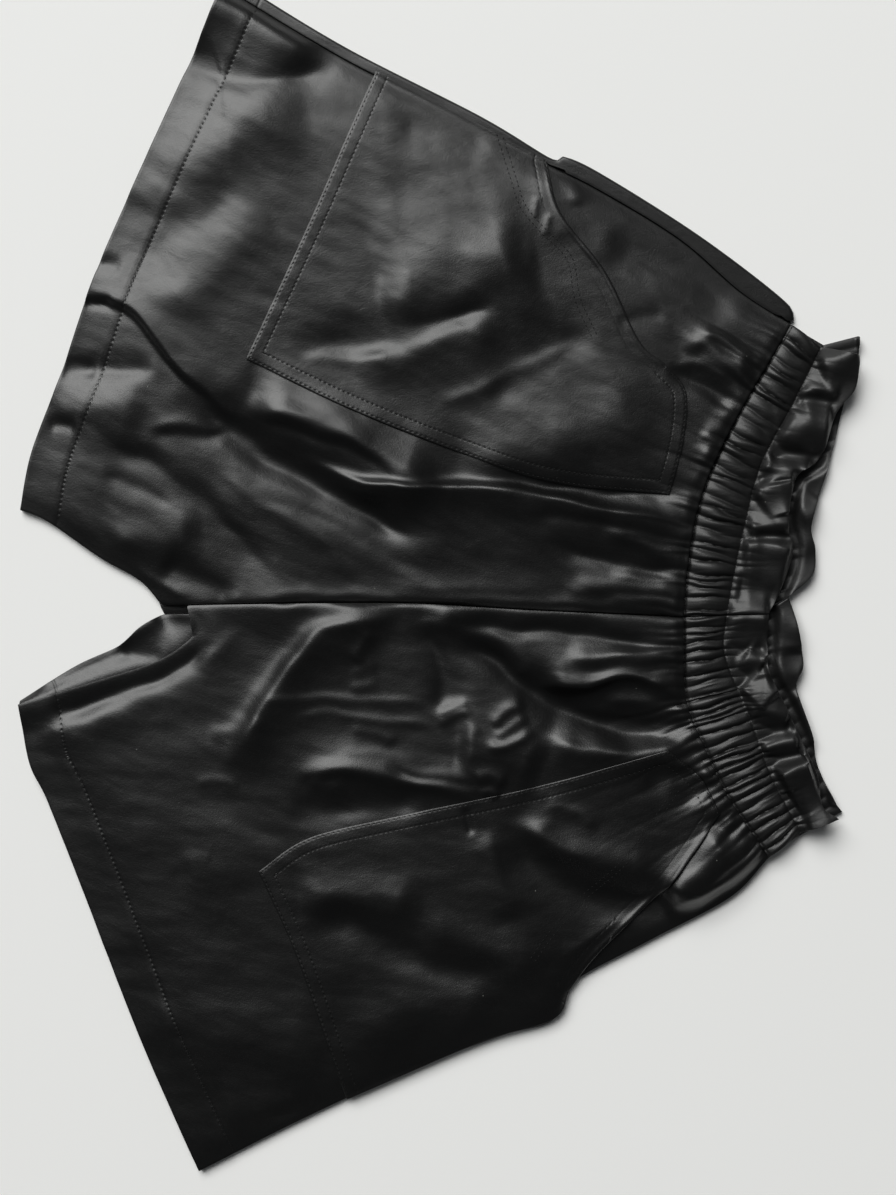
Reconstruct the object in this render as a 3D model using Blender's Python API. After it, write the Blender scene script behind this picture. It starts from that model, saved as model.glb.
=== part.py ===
"""Pull-on leather shorts with an elasticated paperbag waist, laid flat on a surface, front up.

Metres, +Z up from the surface, +Y towards the waist, +X towards the wearer's left leg.
The origin is on the surface, under the middle of the outline.

Every piece is a wall of cloth. The two backs lie flat on the surface, the two fronts lie
on them, the patch pockets lie on the fronts, and the casings close the waist. Where a
piece lies, and where its folds run, was read off the photograph in its own pixels (px to
the right, py down); at() turns those places into metres. Thicknesses, widths and heights
are real sizes.
"""

import math
import random

import bmesh
import bpy
import numpy as np
from mathutils import geometry

# ---------------------------------------------------------------- driving dimensions

LEG_OPENING = 0.320  # flat width of a leg at its hem, the size that sets the scale
LEG_OPENING_PX = 551  # the same width in the photograph
PX = LEG_OPENING / LEG_OPENING_PX
MIDDLE_PX, MIDDLE_PY = 439.0, 573.5  # the middle of the outline in the photograph

MM = 0.001
CLOTH = 1.4 * MM  # one layer of leather with its backing
HEM_DEPTH = 23 * MM  # the turned-up hem, from the edge to its stitches
HEM_PLY = 1.0 * MM  # what the turned-up layer adds
HEM_STEP = 3 * MM  # the distance over which its edge shows
POCKET_CLOTH = 1.2 * MM
CASING = 2.8 * MM  # two layers round the elastic
GAP = 0.3 * MM  # between pieces that meet at a seam or lie on each other

SIDE_RADIUS = 1.95 * MM  # the right back turns over at the side with this radius
TURN_ANGLES = (-50, -15, 15, 50, 90)  # steps of that fold, in degrees from level
STRIP_SHARES = (0.5, 1.0)  # steps from the fold to the side seam

GATHER_HEIGHT = 2.2 * MM
BACK_GATHER_HEIGHT = 0.8 * MM
FRONT_BED = CASING + BACK_GATHER_HEIGHT + GAP  # the front casing lies on the back one
FRONT_WAVE_HEIGHT = 5.5 * MM
BACK_WAVE_HEIGHT = 6.0 * MM
COVER_MARGIN = 1 * MM  # how far past the front ruffle the back one starts to rise
FREE_REACH = 7 * MM  # and over what distance it does
LEAVES_BETWEEN = (0.3, 0.9)  # where on its way from stitches to edge it may start
GATHER_SPREAD, WAVE_SPREAD = (0.5, 1), (0.6, 1)  # the least and most of a height
RUFFLE_SOFTENS = 0.7  # the share of a gather that is gone at the ruffle's edge

EDGE_SWELL, EDGE_REACH = 1.6 * MM, 5 * MM  # a front rises quickly off the side edges
BODY_SWELL, BODY_REACH = 5.5 * MM, 34 * MM  # and slowly towards the middle of the leg
HEM_SWELL = 0.35  # the share of that left at the hem
WAIST_LIFT, WAIST_REACH = 2.4 * MM, 26 * MM  # up to the casing
PROBE = np.array((2 * MM, 0))  # the step over which a front's slope is read
MOST_SLANT = 1.7  # how many times thicker, measured upright, a steep wall may be
FADE = 0.22  # the share of a fold's line over which its end fades out
EDGE_HOLD, SEAM_HOLD = 0.75, 0.7  # how much of a fold the side edges and the casing hold down
WAIST_HOLD, EDGE_REST = 0.6, 0.85  # how much of the whole height they hold down
SOFT_LANDING = 0.6 * MM  # a trough flattens out over this height where it meets the back

LATTICE = 16 * MM  # spacing of the points inside a front
BACK_LATTICE = 34 * MM
LATTICE_SHARE, ROW_SHARE = 0.55, 0.33  # how near the points may come, in spacings
BORDER_SHARE = 0.43  # and how near to an outline
CURVE_STEP = 3 * MM  # along a line that distances are measured from
OUTLINE_STEP = 13 * MM
FOLD_STEP = 9 * MM
SHARP_RISE = 4.5  # a fold this high, in mm, has rows of points on its top and feet

FRONT_GATHERS, BACK_GATHERS = 28, 18  # in half of the waist
FRONT_WAVES, BACK_WAVES = 11, 9  # waves in half of a ruffle
FRONT_ROWS, BACK_ROWS = (2, 3), (1, 1, 1)  # from each line of a waist to its next

# ---------------------------------------------------------------- places in the photograph

HEM_RIGHT = ((224, -12), (165, 118), (100, 265), (59, 381), (32, 452), (20, 510))
INSEAM_RIGHT = ((20, 510), (48, 522), (100, 558), (140, 581), (162, 606))
SIDE_SEAM_RIGHT = (
    (790, 325),
    (740, 292),
    (680, 240),
    (600, 191),
    (545, 163),
    (440, 108),
    (340, 57),
    (224, -12),
)
SIDE_EDGE_RIGHT = (
    (795, 320),
    (785, 300),
    (700, 235),
    (600, 172),
    (550, 156),
    (480, 115),
    (345, 46),
    (228, -25),
)
HEM_LEFT = ((199, 1171), (140, 1035), (80, 880), (48, 800), (30, 762), (20, 704))
INSEAM_LEFT = ((20, 704), (100, 680), (160, 660), (195, 635), (198, 618), (187, 606))
BACK_INSEAM_LEFT = ((19, 701), (75, 666), (118, 646), (140, 627), (162, 614))
SIDE_LEFT = (
    (768, 857),
    (730, 897),
    (650, 940),
    (572, 983),
    (553, 1020),
    (500, 1036),
    (400, 1074),
    (300, 1120),
    (199, 1171),
)
CROTCH_LEFT_PX = 187  # the left front starts here, and the right one at the crotch
CENTRE_FRONT = ((162, 606), (250, 604), (400, 603), (530, 610), (682, 617))
CENTRE_BACK = ((162, 614), (400, 612), (716, 617))

# Each waist's seam, its upper stitches and its ruffle's edge, from the centre out.
FRONT_WAIST = {
    "right": (
        ((682, 617), (686, 570), (695, 515), (712, 465), (740, 410), (790, 325)),
        ((726, 615), (733, 575), (744, 525), (760, 465), (790, 408), (820, 348)),
        (
            (767, 614),
            (777, 595),
            (791, 553),
            (785, 520),
            (795, 478),
            (818, 460),
            (834, 415),
            (853, 390),
            (857, 358),
        ),
    ),
    "left": (
        ((682, 617), (684, 695), (702, 745), (727, 797), (768, 857)),
        ((726, 615), (724, 655), (748, 715), (770, 775), (800, 832)),
        (
            (767, 614),
            (766, 650),
            (768, 676),
            (784, 705),
            (800, 740),
            (817, 778),
            (820, 805),
            (836, 817),
        ),
    ),
}
BACK_WAIST = {
    "right": (
        ((716, 617), (722, 570), (733, 510), (750, 455), (770, 400), (795, 328)),
        ((758, 615), (766, 570), (776, 515), (792, 455), (812, 400), (824, 345)),
        (
            (788, 597),
            (812, 575),
            (815, 550),
            (810, 525),
            (824, 480),
            (834, 445),
            (845, 402),
            (858, 365),
            (859, 336),
        ),
    ),
    "left": (
        ((716, 617), (718, 690), (734, 745), (752, 795), (772, 852)),
        ((758, 615), (758, 660), (778, 725), (796, 785), (804, 834)),
        (
            (788, 597),
            (796, 625),
            (803, 664),
            (796, 688),
            (812, 735),
            (818, 765),
            (834, 800),
            (843, 812),
        ),
    ),
}

POCKET_RIGHT = (
    ((376, 72), (315, 215), (248, 361)),
    ((248, 361), (350, 410), (450, 450), (550, 483), (668, 495)),
    ((668, 495), (682, 440), (684, 392), (663, 365)),
    ((663, 365), (638, 343), (605, 275), (560, 215), (547, 162)),
    ((547, 162), (460, 115), (376, 72)),
)
POCKET_LEFT = (
    ((347, 1099), (300, 960), (260, 869)),
    ((260, 869), (310, 836), (400, 814), (540, 784), (666, 748)),
    ((666, 748), (700, 778), (718, 812)),
    ((718, 812), (690, 853), (659, 892), (600, 950), (569, 990)),
    ((569, 990), (553, 1019), (480, 1042), (347, 1099)),
)

# A fold is a ridge (rise above 0) or a trough along a smooth line. Its left and right are
# those of someone who walks the line as it is written, and say how far its sides reach.
# crease is how far its top is rounded. Millimetres, apart from the line.
FOLD_COLUMNS = ("line", "rise", "left", "right", "crease")

FOLDS_RIGHT = {
    "hem_roll": (((66, 300), (120, 302), (170, 350), (215, 403), (255, 420)), 12, 17, 3.5, 1),
    "hem_roll_foot": (((92, 322), (150, 358), (207, 420), (270, 455), (437, 550)), -6, 6, 8, 2),
    "thigh_ridge": (((240, 405), (330, 430), (390, 466), (452, 484)), 11, 12, 5, 1.5),
    "pleat_lip": (((300, 455), (345, 480), (400, 488), (500, 491), (705, 532)), 9, 3, 14, 1),
    "pleat_gap": (((478, 482), (560, 489), (640, 495), (692, 497)), -4, 5, 3, 1),
    "hem_hollow": (((50, 376), (100, 370), (160, 368)), -3.5, 6, 6, 2),
    "hem_wave": (((45, 415), (95, 408), (150, 420)), 3, 8, 8, 2),
    "inseam_swell": (((106, 546), (150, 538), (205, 530)), 6, 12, 5, 2),
    "inseam_dip": (((158, 560), (190, 578), (238, 602)), -4, 6, 6, 2),
    "thigh_dip": (((88, 440), (150, 466), (200, 500), (240, 545), (290, 592)), -4, 8, 9, 3),
    "hem_corner": (((193, 64), (225, 78), (255, 84), (290, 79), (342, 60)), 3, 12, 20, 0.5),
    "hem_swell": (((140, 225), (205, 150), (310, 112)), 4.5, 16, 16, 6),
    "hem_dip": (((140, 285), (190, 222), (250, 186)), -3, 10, 10, 4),
    "hem_side_swell": (((170, 330), (215, 260), (275, 210)), 4, 14, 14, 6),
    "pocket_dip_high": (((385, 135), (430, 130), (500, 140)), -2.5, 7, 7, 3),
    "pocket_dip_side": (((375, 190), (450, 186), (520, 196)), -2.5, 8, 8, 3),
    "pocket_swell": (((385, 262), (450, 232), (525, 228)), 7, 20, 24, 8),
    "pocket_crease": (((290, 345), (380, 346), (440, 326), (505, 306)), -3.5, 7, 5, 1.5),
    "pocket_roll": (((350, 372), (430, 345), (510, 325)), 3.5, 7, 10, 2),
    "pocket_dip": (((486, 412), (530, 362), (598, 334)), -4, 6, 8, 1.5),
    "pocket_swell_low": (((430, 458), (520, 428), (600, 408), (664, 396)), 8, 14, 13, 3),
    "pucker": (((546, 168), (548, 205), (566, 250)), 6, 8, 8, 2),
    "hip_dip": (((600, 238), (680, 276), (745, 314)), -3, 8, 8, 3),
    "waist_roll": (((676, 352), (700, 345), (725, 368), (756, 378)), 4, 6, 6, 1.5),
    "waist_dip": (((668, 366), (700, 385), (732, 415)), -3, 6, 4, 1),
    "gather_high": (((545, 538), (600, 560), (692, 577)), -3, 5, 5, 1.5),
    "gather_low": (((560, 592), (620, 586), (688, 592)), 2.5, 6, 6, 2),
    "gather_mid": (((600, 530), (650, 548), (690, 556)), 2.5, 6, 6, 2),
}
FOLDS_LEFT = {
    "crotch_roll": (((16, 730), (60, 728), (160, 682), (205, 652), (262, 611)), 9, 5, 15, 1.5),
    "crotch_trough": (((70, 706), (120, 684), (170, 662), (210, 632)), -3, 4, 4, 1),
    "leg_roll": (((220, 795), (238, 740), (302, 648), (345, 622), (402, 615)), 11, 12, 10, 2),
    "centre_trough": (((424, 620), (437, 655), (443, 702)), -3, 6, 6, 1),
    "centre_ridge": (((418, 620), (470, 627), (515, 655), (542, 692)), 8, 11, 6, 1.5),
    "pleat_floor": (((480, 662), (540, 700), (600, 724), (696, 742)), -6, 8, 6, 1),
    "pleat_lip": (((533, 688), (580, 681), (640, 675), (684, 702)), 9, 11, 4, 0.5),
    "pleat_under": (((538, 726), (570, 748), (605, 752), (696, 745)), 8, 5, 11, 1),
    "belly_ridge": (((296, 770), (340, 764), (400, 776), (484, 787)), 9, 9, 5, 1),
    "belly_dip": (((288, 802), (340, 808), (430, 800)), -4, 6, 6, 2),
    "belly_swell": (((436, 712), (490, 712), (535, 734)), 7, 12, 12, 3),
    "shin_swell": (((190, 850), (240, 845), (250, 800)), 3, 12, 12, 6),
    "pocket_ridge": (((296, 894), (360, 893), (425, 908)), 4, 8, 10, 3),
    "pocket_dip": (((300, 917), (360, 925), (410, 955), (505, 985)), -4, 8, 8, 3),
    "pocket_swell": (((410, 925), (470, 940), (545, 975)), 4, 10, 10, 5),
    "pocket_fold": (((498, 822), (530, 856), (562, 884), (612, 902), (700, 908)), -6, 8, 9, 2),
    "pocket_fold_top": (((512, 815), (560, 848), (620, 862), (668, 868)), 8, 9, 7, 3),
    "pocket_triangle": (((486, 822), (497, 870), (512, 922)), 3, 5, 9, 1),
    "side_swell": (((132, 1015), (240, 1030), (335, 1050)), 5, 14, 14, 6),
    "side_swell_low": (((350, 1030), (420, 1008), (500, 1012)), 4, 11, 11, 5),
    "hem_corner_swell": (((215, 1108), (260, 1106), (312, 1104)), 3, 9, 9, 4),
    "casing_trough": (((640, 785), (672, 770), (700, 800)), -3, 6, 6, 2),
    "hand_roll": (((664, 900), (695, 866), (728, 832)), 7, 3, 12, 1),
    "gather_high": (((440, 622), (560, 632), (640, 643), (684, 643)), -3, 4, 5, 1),
    "gather_low": (((560, 658), (640, 652), (684, 655)), 2.5, 5, 5, 1.5),
}

rng = random.Random(7)

# ---------------------------------------------------------------- curves and distances


def at(px, py):
    """A place in the photograph, in metres on the surface."""
    return np.array(((py - MIDDLE_PY) * PX, (px - MIDDLE_PX) * PX))


def smooth_line(places, step=None, count=None):
    """Points about step apart, or so many, on a smooth curve through the places."""
    knots = np.array([at(*place) for place in places])
    ends = (2 * knots[0] - knots[1], 2 * knots[-1] - knots[-2])
    padded = np.vstack((ends[0], knots, ends[1]))
    fine = [knots[0]]
    for a, b, c, d in zip(padded, padded[1:], padded[2:], padded[3:]):
        for t in np.linspace(0, 1, 13)[1:]:
            bend = (2 * a - 5 * b + 4 * c - d) * t**2 + (3 * b - a - 3 * c + d) * t**3
            fine.append(b + ((c - a) * t + bend) / 2)
    return spaced(np.array(fine), step, count)


def spaced(line, step=None, count=None):
    """The polyline resampled to even steps, which keeps its two ends."""
    run = np.concatenate(([0], np.cumsum(np.linalg.norm(np.diff(line, axis=0), axis=1))))
    count = count or max(2, round(run[-1] / step) + 1)
    where = np.linspace(0, run[-1], count)
    return np.column_stack([np.interp(where, run, line[:, k]) for k in (0, 1)])


def joined(*lines):
    """One closed outline from lines that follow each other, each without its last point."""
    return np.vstack([line[:-1] for line in lines])


def to_right(line):
    """Unit vectors to the right of someone who walks the line in the photograph."""
    along = np.gradient(line, axis=0)
    along /= np.linalg.norm(along, axis=1)[:, None]
    return np.column_stack((along[:, 1], -along[:, 0]))


def beside(line, distance):
    """The line moved to its right, or to its left if the distance is below 0."""
    return line + to_right(line) * distance


def nearest(points, line):
    """Signed distance of each point from a polyline, and how far along it, from 0 to 1.

    The distance is positive on the right of someone who walks the line in the photograph.
    """
    start, step = line[:-1], np.diff(line, axis=0)
    length = np.linalg.norm(step, axis=1)
    run = np.concatenate(([0], np.cumsum(length)))
    offset = points[:, None] - start[None]
    share = np.clip((offset * step).sum(2) / length**2, 0, 1)
    apart = np.linalg.norm(offset - share[..., None] * step, axis=2)
    best = apart.argmin(1)
    rows = np.arange(len(points))
    turn = step[best, 1] * offset[rows, best, 0] - step[best, 0] * offset[rows, best, 1]
    along = (run[best] + share[rows, best] * length[best]) / run[-1]
    return apart[rows, best] * np.where(turn > 0, 1, -1), along


def distance(points, line):
    return np.abs(nearest(points, line)[0])


def inside(points, outline):
    """Which points lie inside a closed outline."""
    hit = np.zeros(len(points), bool)
    for (x0, y0), (x1, y1) in zip(outline, np.roll(outline, -1, axis=0)):
        crosses = (y0 > points[:, 1]) != (y1 > points[:, 1])
        with np.errstate(divide="ignore", invalid="ignore"):
            meets = (x1 - x0) * (points[:, 1] - y0) / (y1 - y0) + x0
        hit ^= crosses & (points[:, 0] < meets)
    return hit


def eased(share):
    """0 to 1 with soft ends."""
    share = np.clip(share, 0, 1)
    return share * share * (3 - 2 * share)


# ---------------------------------------------------------------- the height of the cloth


class Front:
    """One front panel: its outline, its folds, and how high its cloth lies."""

    def __init__(self, hem, inseam, centre, waist, side, folds):
        self.hem, self.inseam, self.centre, self.waist, self.side = hem, inseam, centre, waist, side
        self.folds = folds
        self.fold_lines = {name: smooth_line(row[0], CURVE_STEP) for name, row in folds.items()}

    def fold_heights(self, points):
        total = np.zeros(len(points))
        for name, row in self.folds.items():
            fold = dict(zip(FOLD_COLUMNS, row))
            apart, along = nearest(points, self.fold_lines[name])
            reach = np.where(apart > 0, fold["right"], fold["left"]) * MM
            top = fold["crease"] * MM
            fall = np.exp(-(np.hypot(apart, top) - top) / reach)
            total += fold["rise"] * MM * fall * eased(along / FADE) * eased((1 - along) / FADE)
        return total

    def lift(self, points):
        """How far the cloth lies above the lowest place that it could have."""
        from_edge = np.minimum(distance(points, self.inseam), distance(points, self.side))
        from_hem, from_waist = distance(points, self.hem), distance(points, self.waist)
        near_edge, near_waist = np.exp(-from_edge / EDGE_REACH), np.exp(-from_waist / WAIST_REACH)
        swell = EDGE_SWELL * (1 - near_edge) + BODY_SWELL * (1 - np.exp(-from_edge / BODY_REACH))
        swell *= HEM_SWELL + (1 - HEM_SWELL) * eased(from_hem / (2 * HEM_DEPTH))
        folds = self.fold_heights(points) * (1 - EDGE_HOLD * near_edge)
        folds *= 1 - SEAM_HOLD * np.exp(-from_waist / EDGE_REACH)
        height = swell * (1 - WAIST_HOLD * near_waist) + folds
        rests = SOFT_LANDING * np.logaddexp(0, height / SOFT_LANDING)
        return rests * (1 - EDGE_REST * near_edge) + WAIST_LIFT * near_waist

    def underside(self, points):
        return CLOTH + HEM_PLY + GAP + self.lift(points)

    def topside(self, points):
        """The wall keeps its thickness where it is steep, up to a limit."""
        rises = [self.lift(points + d) - self.lift(points - d) for d in (PROBE, PROBE[::-1])]
        slant = np.sqrt(1 + sum((rise / (2 * PROBE.max())) ** 2 for rise in rises))
        cloth = CLOTH * np.minimum(slant, MOST_SLANT)
        return self.underside(points) + cloth + hem_ply(points, self.hem)


def hem_ply(points, hem):
    """The turned-up layer's share of the thickness, near the hem."""
    return HEM_PLY * eased((HEM_DEPTH - distance(points, hem)) / HEM_STEP)


# ---------------------------------------------------------------- walls of cloth


def thinned(points, others, gap):
    """The points that are further than gap from all the others."""
    if not len(points) or not len(others):
        return points
    return points[np.linalg.norm(points[:, None] - others[None], axis=2).min(1) > gap]


def filled(outline, spacing, line=None, rows=()):
    """Flat points and triangles that fill an outline.

    The line is kept as edges. Rows of points take the place of the lattice near them.
    """
    border = np.vstack((outline, outline[:1]))
    kept = [border] if line is None else [border, line]
    placed = outline if line is None else np.vstack((outline, line))
    edges = [(i, (i + 1) % len(outline)) for i in range(len(outline))]
    edges += [(i, i + 1) for i in range(len(outline), len(placed) - 1)]
    low, high = outline.min(0), outline.max(0)
    across = np.arange(low[0], high[0], spacing)
    up = np.arange(low[1], high[1], spacing * math.sqrt(0.75))
    lattice = [(x + j % 2 * spacing / 2, y) for j, y in enumerate(up) for x in across]
    first_row = len(placed)
    for row, apart in (*((row, ROW_SHARE) for row in rows), (np.array(lattice), LATTICE_SHARE)):
        row = row[inside(row, outline)]
        for edge in kept:
            row = row[distance(row, edge) > BORDER_SHARE * spacing]
        placed = np.vstack((placed, thinned(row, placed[first_row:], apart * spacing)))
    found = geometry.delaunay_2d_cdt([tuple(p / MM) for p in placed], edges, [], 1, 1e-4)
    points = np.array([tuple(p) for p in found[0]]) * MM
    return points, within(points, found[2], outline)


def within(points, faces, outline):
    """The faces whose middles lie inside the outline."""
    middles = np.array([points[list(face)].mean(0) for face in faces])
    return [face for face, keep in zip(faces, inside(middles, outline)) if keep]


def wall(name, points, faces, bottom, top, material, finish=None):
    """A closed wall of cloth: the flat faces, set at bottom and extruded up to top."""
    used = sorted({i for face in faces for i in face})
    flat = points[used]
    bm = bmesh.new()
    verts = {i: bm.verts.new((*points[i], z)) for i, z in zip(used, bottom(flat))}
    for face in faces:
        bm.faces.new([verts[i] for i in face])
    over = {tuple(verts[i].co): z for i, z in zip(used, top(flat))}
    raised = bmesh.ops.extrude_face_region(bm, geom=bm.faces[:])["geom"]
    for vert in (item for item in raised if isinstance(item, bmesh.types.BMVert)):
        vert.co.z = over[tuple(vert.co)]
    if finish:
        finish(bm)
    return add_object(name, bm, material)


def add_object(name, bm, material):
    bmesh.ops.triangulate(bm, faces=bm.faces[:])
    bmesh.ops.recalc_face_normals(bm, faces=bm.faces[:])
    mesh = bpy.data.meshes.new(name)
    bm.to_mesh(mesh)
    bm.free()
    mesh.shade_smooth()
    mesh.set_sharp_from_angle(angle=math.radians(50))
    mesh.materials.append(material)
    obj = bpy.data.objects.new(name, mesh)
    bpy.context.scene.collection.objects.link(obj)
    return obj


def leather(name, colour, roughness):
    material = bpy.data.materials.new(name)
    material.use_nodes = True
    shader = material.node_tree.nodes["Principled BSDF"]
    shader.inputs["Base Color"].default_value = (*colour, 1)
    shader.inputs["Roughness"].default_value = roughness
    shader.inputs["Metallic"].default_value = 0
    return material


# ---------------------------------------------------------------- fronts and pockets


def fold_rows(front):
    """Rows of points along the tops and feet of the main folds."""
    rows = []
    for row in front.folds.values():
        fold = dict(zip(FOLD_COLUMNS, row))
        if abs(fold["rise"]) >= SHARP_RISE:
            top = smooth_line(fold["line"], FOLD_STEP)
            feet = [max(0.8 * fold[side], 5) * MM for side in ("right", "left")]
            rows += [top, beside(top, feet[0]), beside(top, -feet[1])]
    return rows


def add_front(side, front, outline, pocket_edges, cloth):
    """A front panel, and its pocket, which is made from the panel's points, moved out."""
    pocket = joined(*(smooth_line(edge, OUTLINE_STEP) for edge in pocket_edges))
    pocket_line = np.vstack((pocket, pocket[:1]))
    points, faces = filled(outline, LATTICE, pocket_line, fold_rows(front))
    wall(f"front_{side}", points, faces, front.underside, front.topside, cloth)

    def bottom(flat):
        return front.topside(flat) + GAP

    def top(flat):
        return bottom(flat) + POCKET_CLOTH

    wall(f"pocket_{side}", points, within(points, faces, pocket), bottom, top, cloth)


# ---------------------------------------------------------------- backs


def add_back(side, outline, hem, cloth, finish=None):
    points, faces = filled(outline, BACK_LATTICE)

    def top(flat):
        return CLOTH + hem_ply(flat, hem)

    wall(f"back_{side}", points, faces, lambda flat: 0 * flat[:, 0], top, cloth, finish)


def turned_over(edge, seam):
    """What carries a back's side edge round a fold and on to the seam that shows on top."""

    def finish(bm):
        rows = {False: {}, True: {}}
        for vert in bm.verts:
            gaps = np.linalg.norm(edge - np.array(vert.co.xy), axis=1)
            if gaps.min() < 0.01 * MM:
                rows[vert.co.z > CLOTH / 2][int(gaps.argmin())] = vert
        stations = range(len(edge))
        outer, inner = ([rows[high][i] for i in stations] for high in (False, True))
        ring = set(outer), set(inner)
        cut = [f for f in bm.faces if all(len(row & set(f.verts)) == 2 for row in ring)]
        bmesh.ops.delete(bm, geom=cut, context="FACES_ONLY")
        outward = to_right(edge)
        strip = distance(edge, seam) - GAP
        turns = [(math.radians(angle), 0) for angle in TURN_ANGLES]
        for turn, share in turns + [(math.pi / 2, share) for share in STRIP_SHARES]:
            new = []
            for radius in (SIDE_RADIUS, SIDE_RADIUS - CLOTH):
                reach = radius * math.cos(turn) - share * strip
                places = edge + outward * reach[:, None]
                height = SIDE_RADIUS + radius * math.sin(turn)
                new.append([bm.verts.new((*place, height)) for place in places])
            for old_row, new_row in zip((outer, inner), new):
                for i in stations[1:]:
                    bm.faces.new((old_row[i - 1], old_row[i], new_row[i], new_row[i - 1]))
            for i in (stations[0], stations[-1]):
                bm.faces.new((outer[i], inner[i], new[1][i], new[0][i]))
            outer, inner = new
        for i in stations[1:]:
            bm.faces.new((outer[i - 1], outer[i], inner[i], inner[i - 1]))

    return finish


# ---------------------------------------------------------------- casings and ruffles


class Waist:
    """Half of a casing and the ruffle above it: one strip, gathered on elastic.

    Its lines are the seam, the upper stitches and the ruffle's edge, from the centre out,
    with two columns for each gather. out is 1 where the right of those lines is outside.
    """

    def __init__(self, places, gathers, waves, out, under=None):
        self.columns, self.waves, self.out = 2 * gathers, waves, out
        self.seam = smooth_line(places[0], count=gathers + 1)
        lines = [self.seam] + [smooth_line(place, CURVE_STEP) for place in places[1:]]
        self.lines = [spaced(line, count=self.columns + 1) for line in lines]
        if under:
            self.lines.insert(2, self.leaves(under))
        self.depths = [rng.uniform(*GATHER_SPREAD) for _ in range(self.columns + 1)]
        self.heights = [rng.uniform(*WAVE_SPREAD) for _ in range(waves + 1)]

    def leaves(self, under):
        """Where each column comes out from under the ruffle of the waist that covers it."""
        shares = np.linspace(*LEAVES_BETWEEN, 25)
        row = []
        for stitch, edge in zip(*self.lines[1:]):
            places = stitch + shares[:, None] * (edge - stitch)
            clear = under.past_edge(places) > COVER_MARGIN
            row.append(places[clear.argmax() if clear.any() else -1])
        return np.array(row)

    def past_edge(self, places):
        """How far outside the ruffle's edge the places lie."""
        return nearest(places, self.lines[-1])[0] * self.out

    def panel_edge(self):
        """Where the panels below end, on their side of the seam."""
        return beside(self.seam, -self.out * GAP / 2) - (self.out * GAP / 2, 0)

    def gather(self, column):
        return column % 2 * self.depths[column]

    def wave(self, column):
        turns = self.waves * column / self.columns
        return self.heights[round(turns)] * (0.5 - 0.5 * math.cos(2 * math.pi * turns))


def add_casing(name, waist, row_counts, heights, cloth):
    """A casing with its ruffle, with so many rows from each of its lines to the next."""
    lines = [beside(waist.lines[0], waist.out * GAP / 2), *waist.lines[1:]]
    rows = [(part, k / n) for part, n in enumerate(row_counts) for k in range(n)]
    rows.append((len(row_counts) - 1, 1))
    bm = bmesh.new()
    bmesh.ops.create_grid(bm, x_segments=waist.columns, y_segments=len(rows) - 1, size=0.5)
    over = {}
    for vert in bm.verts:
        column = round((vert.co.x + 0.5) * waist.columns)
        part, up = rows[round((vert.co.y + 0.5) * (len(rows) - 1))]
        place = lines[part][column] * (1 - up) + lines[part + 1][column] * up
        place = place - (waist.out * GAP / 2, 0)
        bottom, top = heights(waist, column, part, up, place)
        vert.co = (*place, bottom)
        over[tuple(vert.co)] = top
    raised = bmesh.ops.extrude_face_region(bm, geom=bm.faces[:])["geom"]
    for vert in (item for item in raised if isinstance(item, bmesh.types.BMVert)):
        vert.co.z = over[tuple(vert.co)]
    return add_object(name, bm, cloth)


def front_heights(waist, column, part, up, place):
    up_ruffle = up * (part == 1)
    gathers = GATHER_HEIGHT * waist.gather(column) * (1 - RUFFLE_SOFTENS * up_ruffle)
    bottom = FRONT_BED + gathers + FRONT_WAVE_HEIGHT * waist.wave(column) * up_ruffle
    return bottom, bottom + CASING


def back_heights(front):
    """Heights of a back casing, whose ruffle is free only past the edge of the front's."""

    def heights(waist, column, part, up, place):
        free = eased(front.past_edge(place[None])[0] / FREE_REACH) * up * (part == 2)
        bottom = BACK_WAVE_HEIGHT * waist.wave(column) * float(free)
        return bottom, bottom + CASING + BACK_GATHER_HEIGHT * waist.gather(column)

    return heights


# ---------------------------------------------------------------- the shorts


def clear_scene():
    for obj in list(bpy.data.objects):
        bpy.data.objects.remove(obj, do_unlink=True)


def with_first(line, point):
    """The line with its first point moved to where its neighbour ends."""
    return np.vstack((point, line[1:]))


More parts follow.
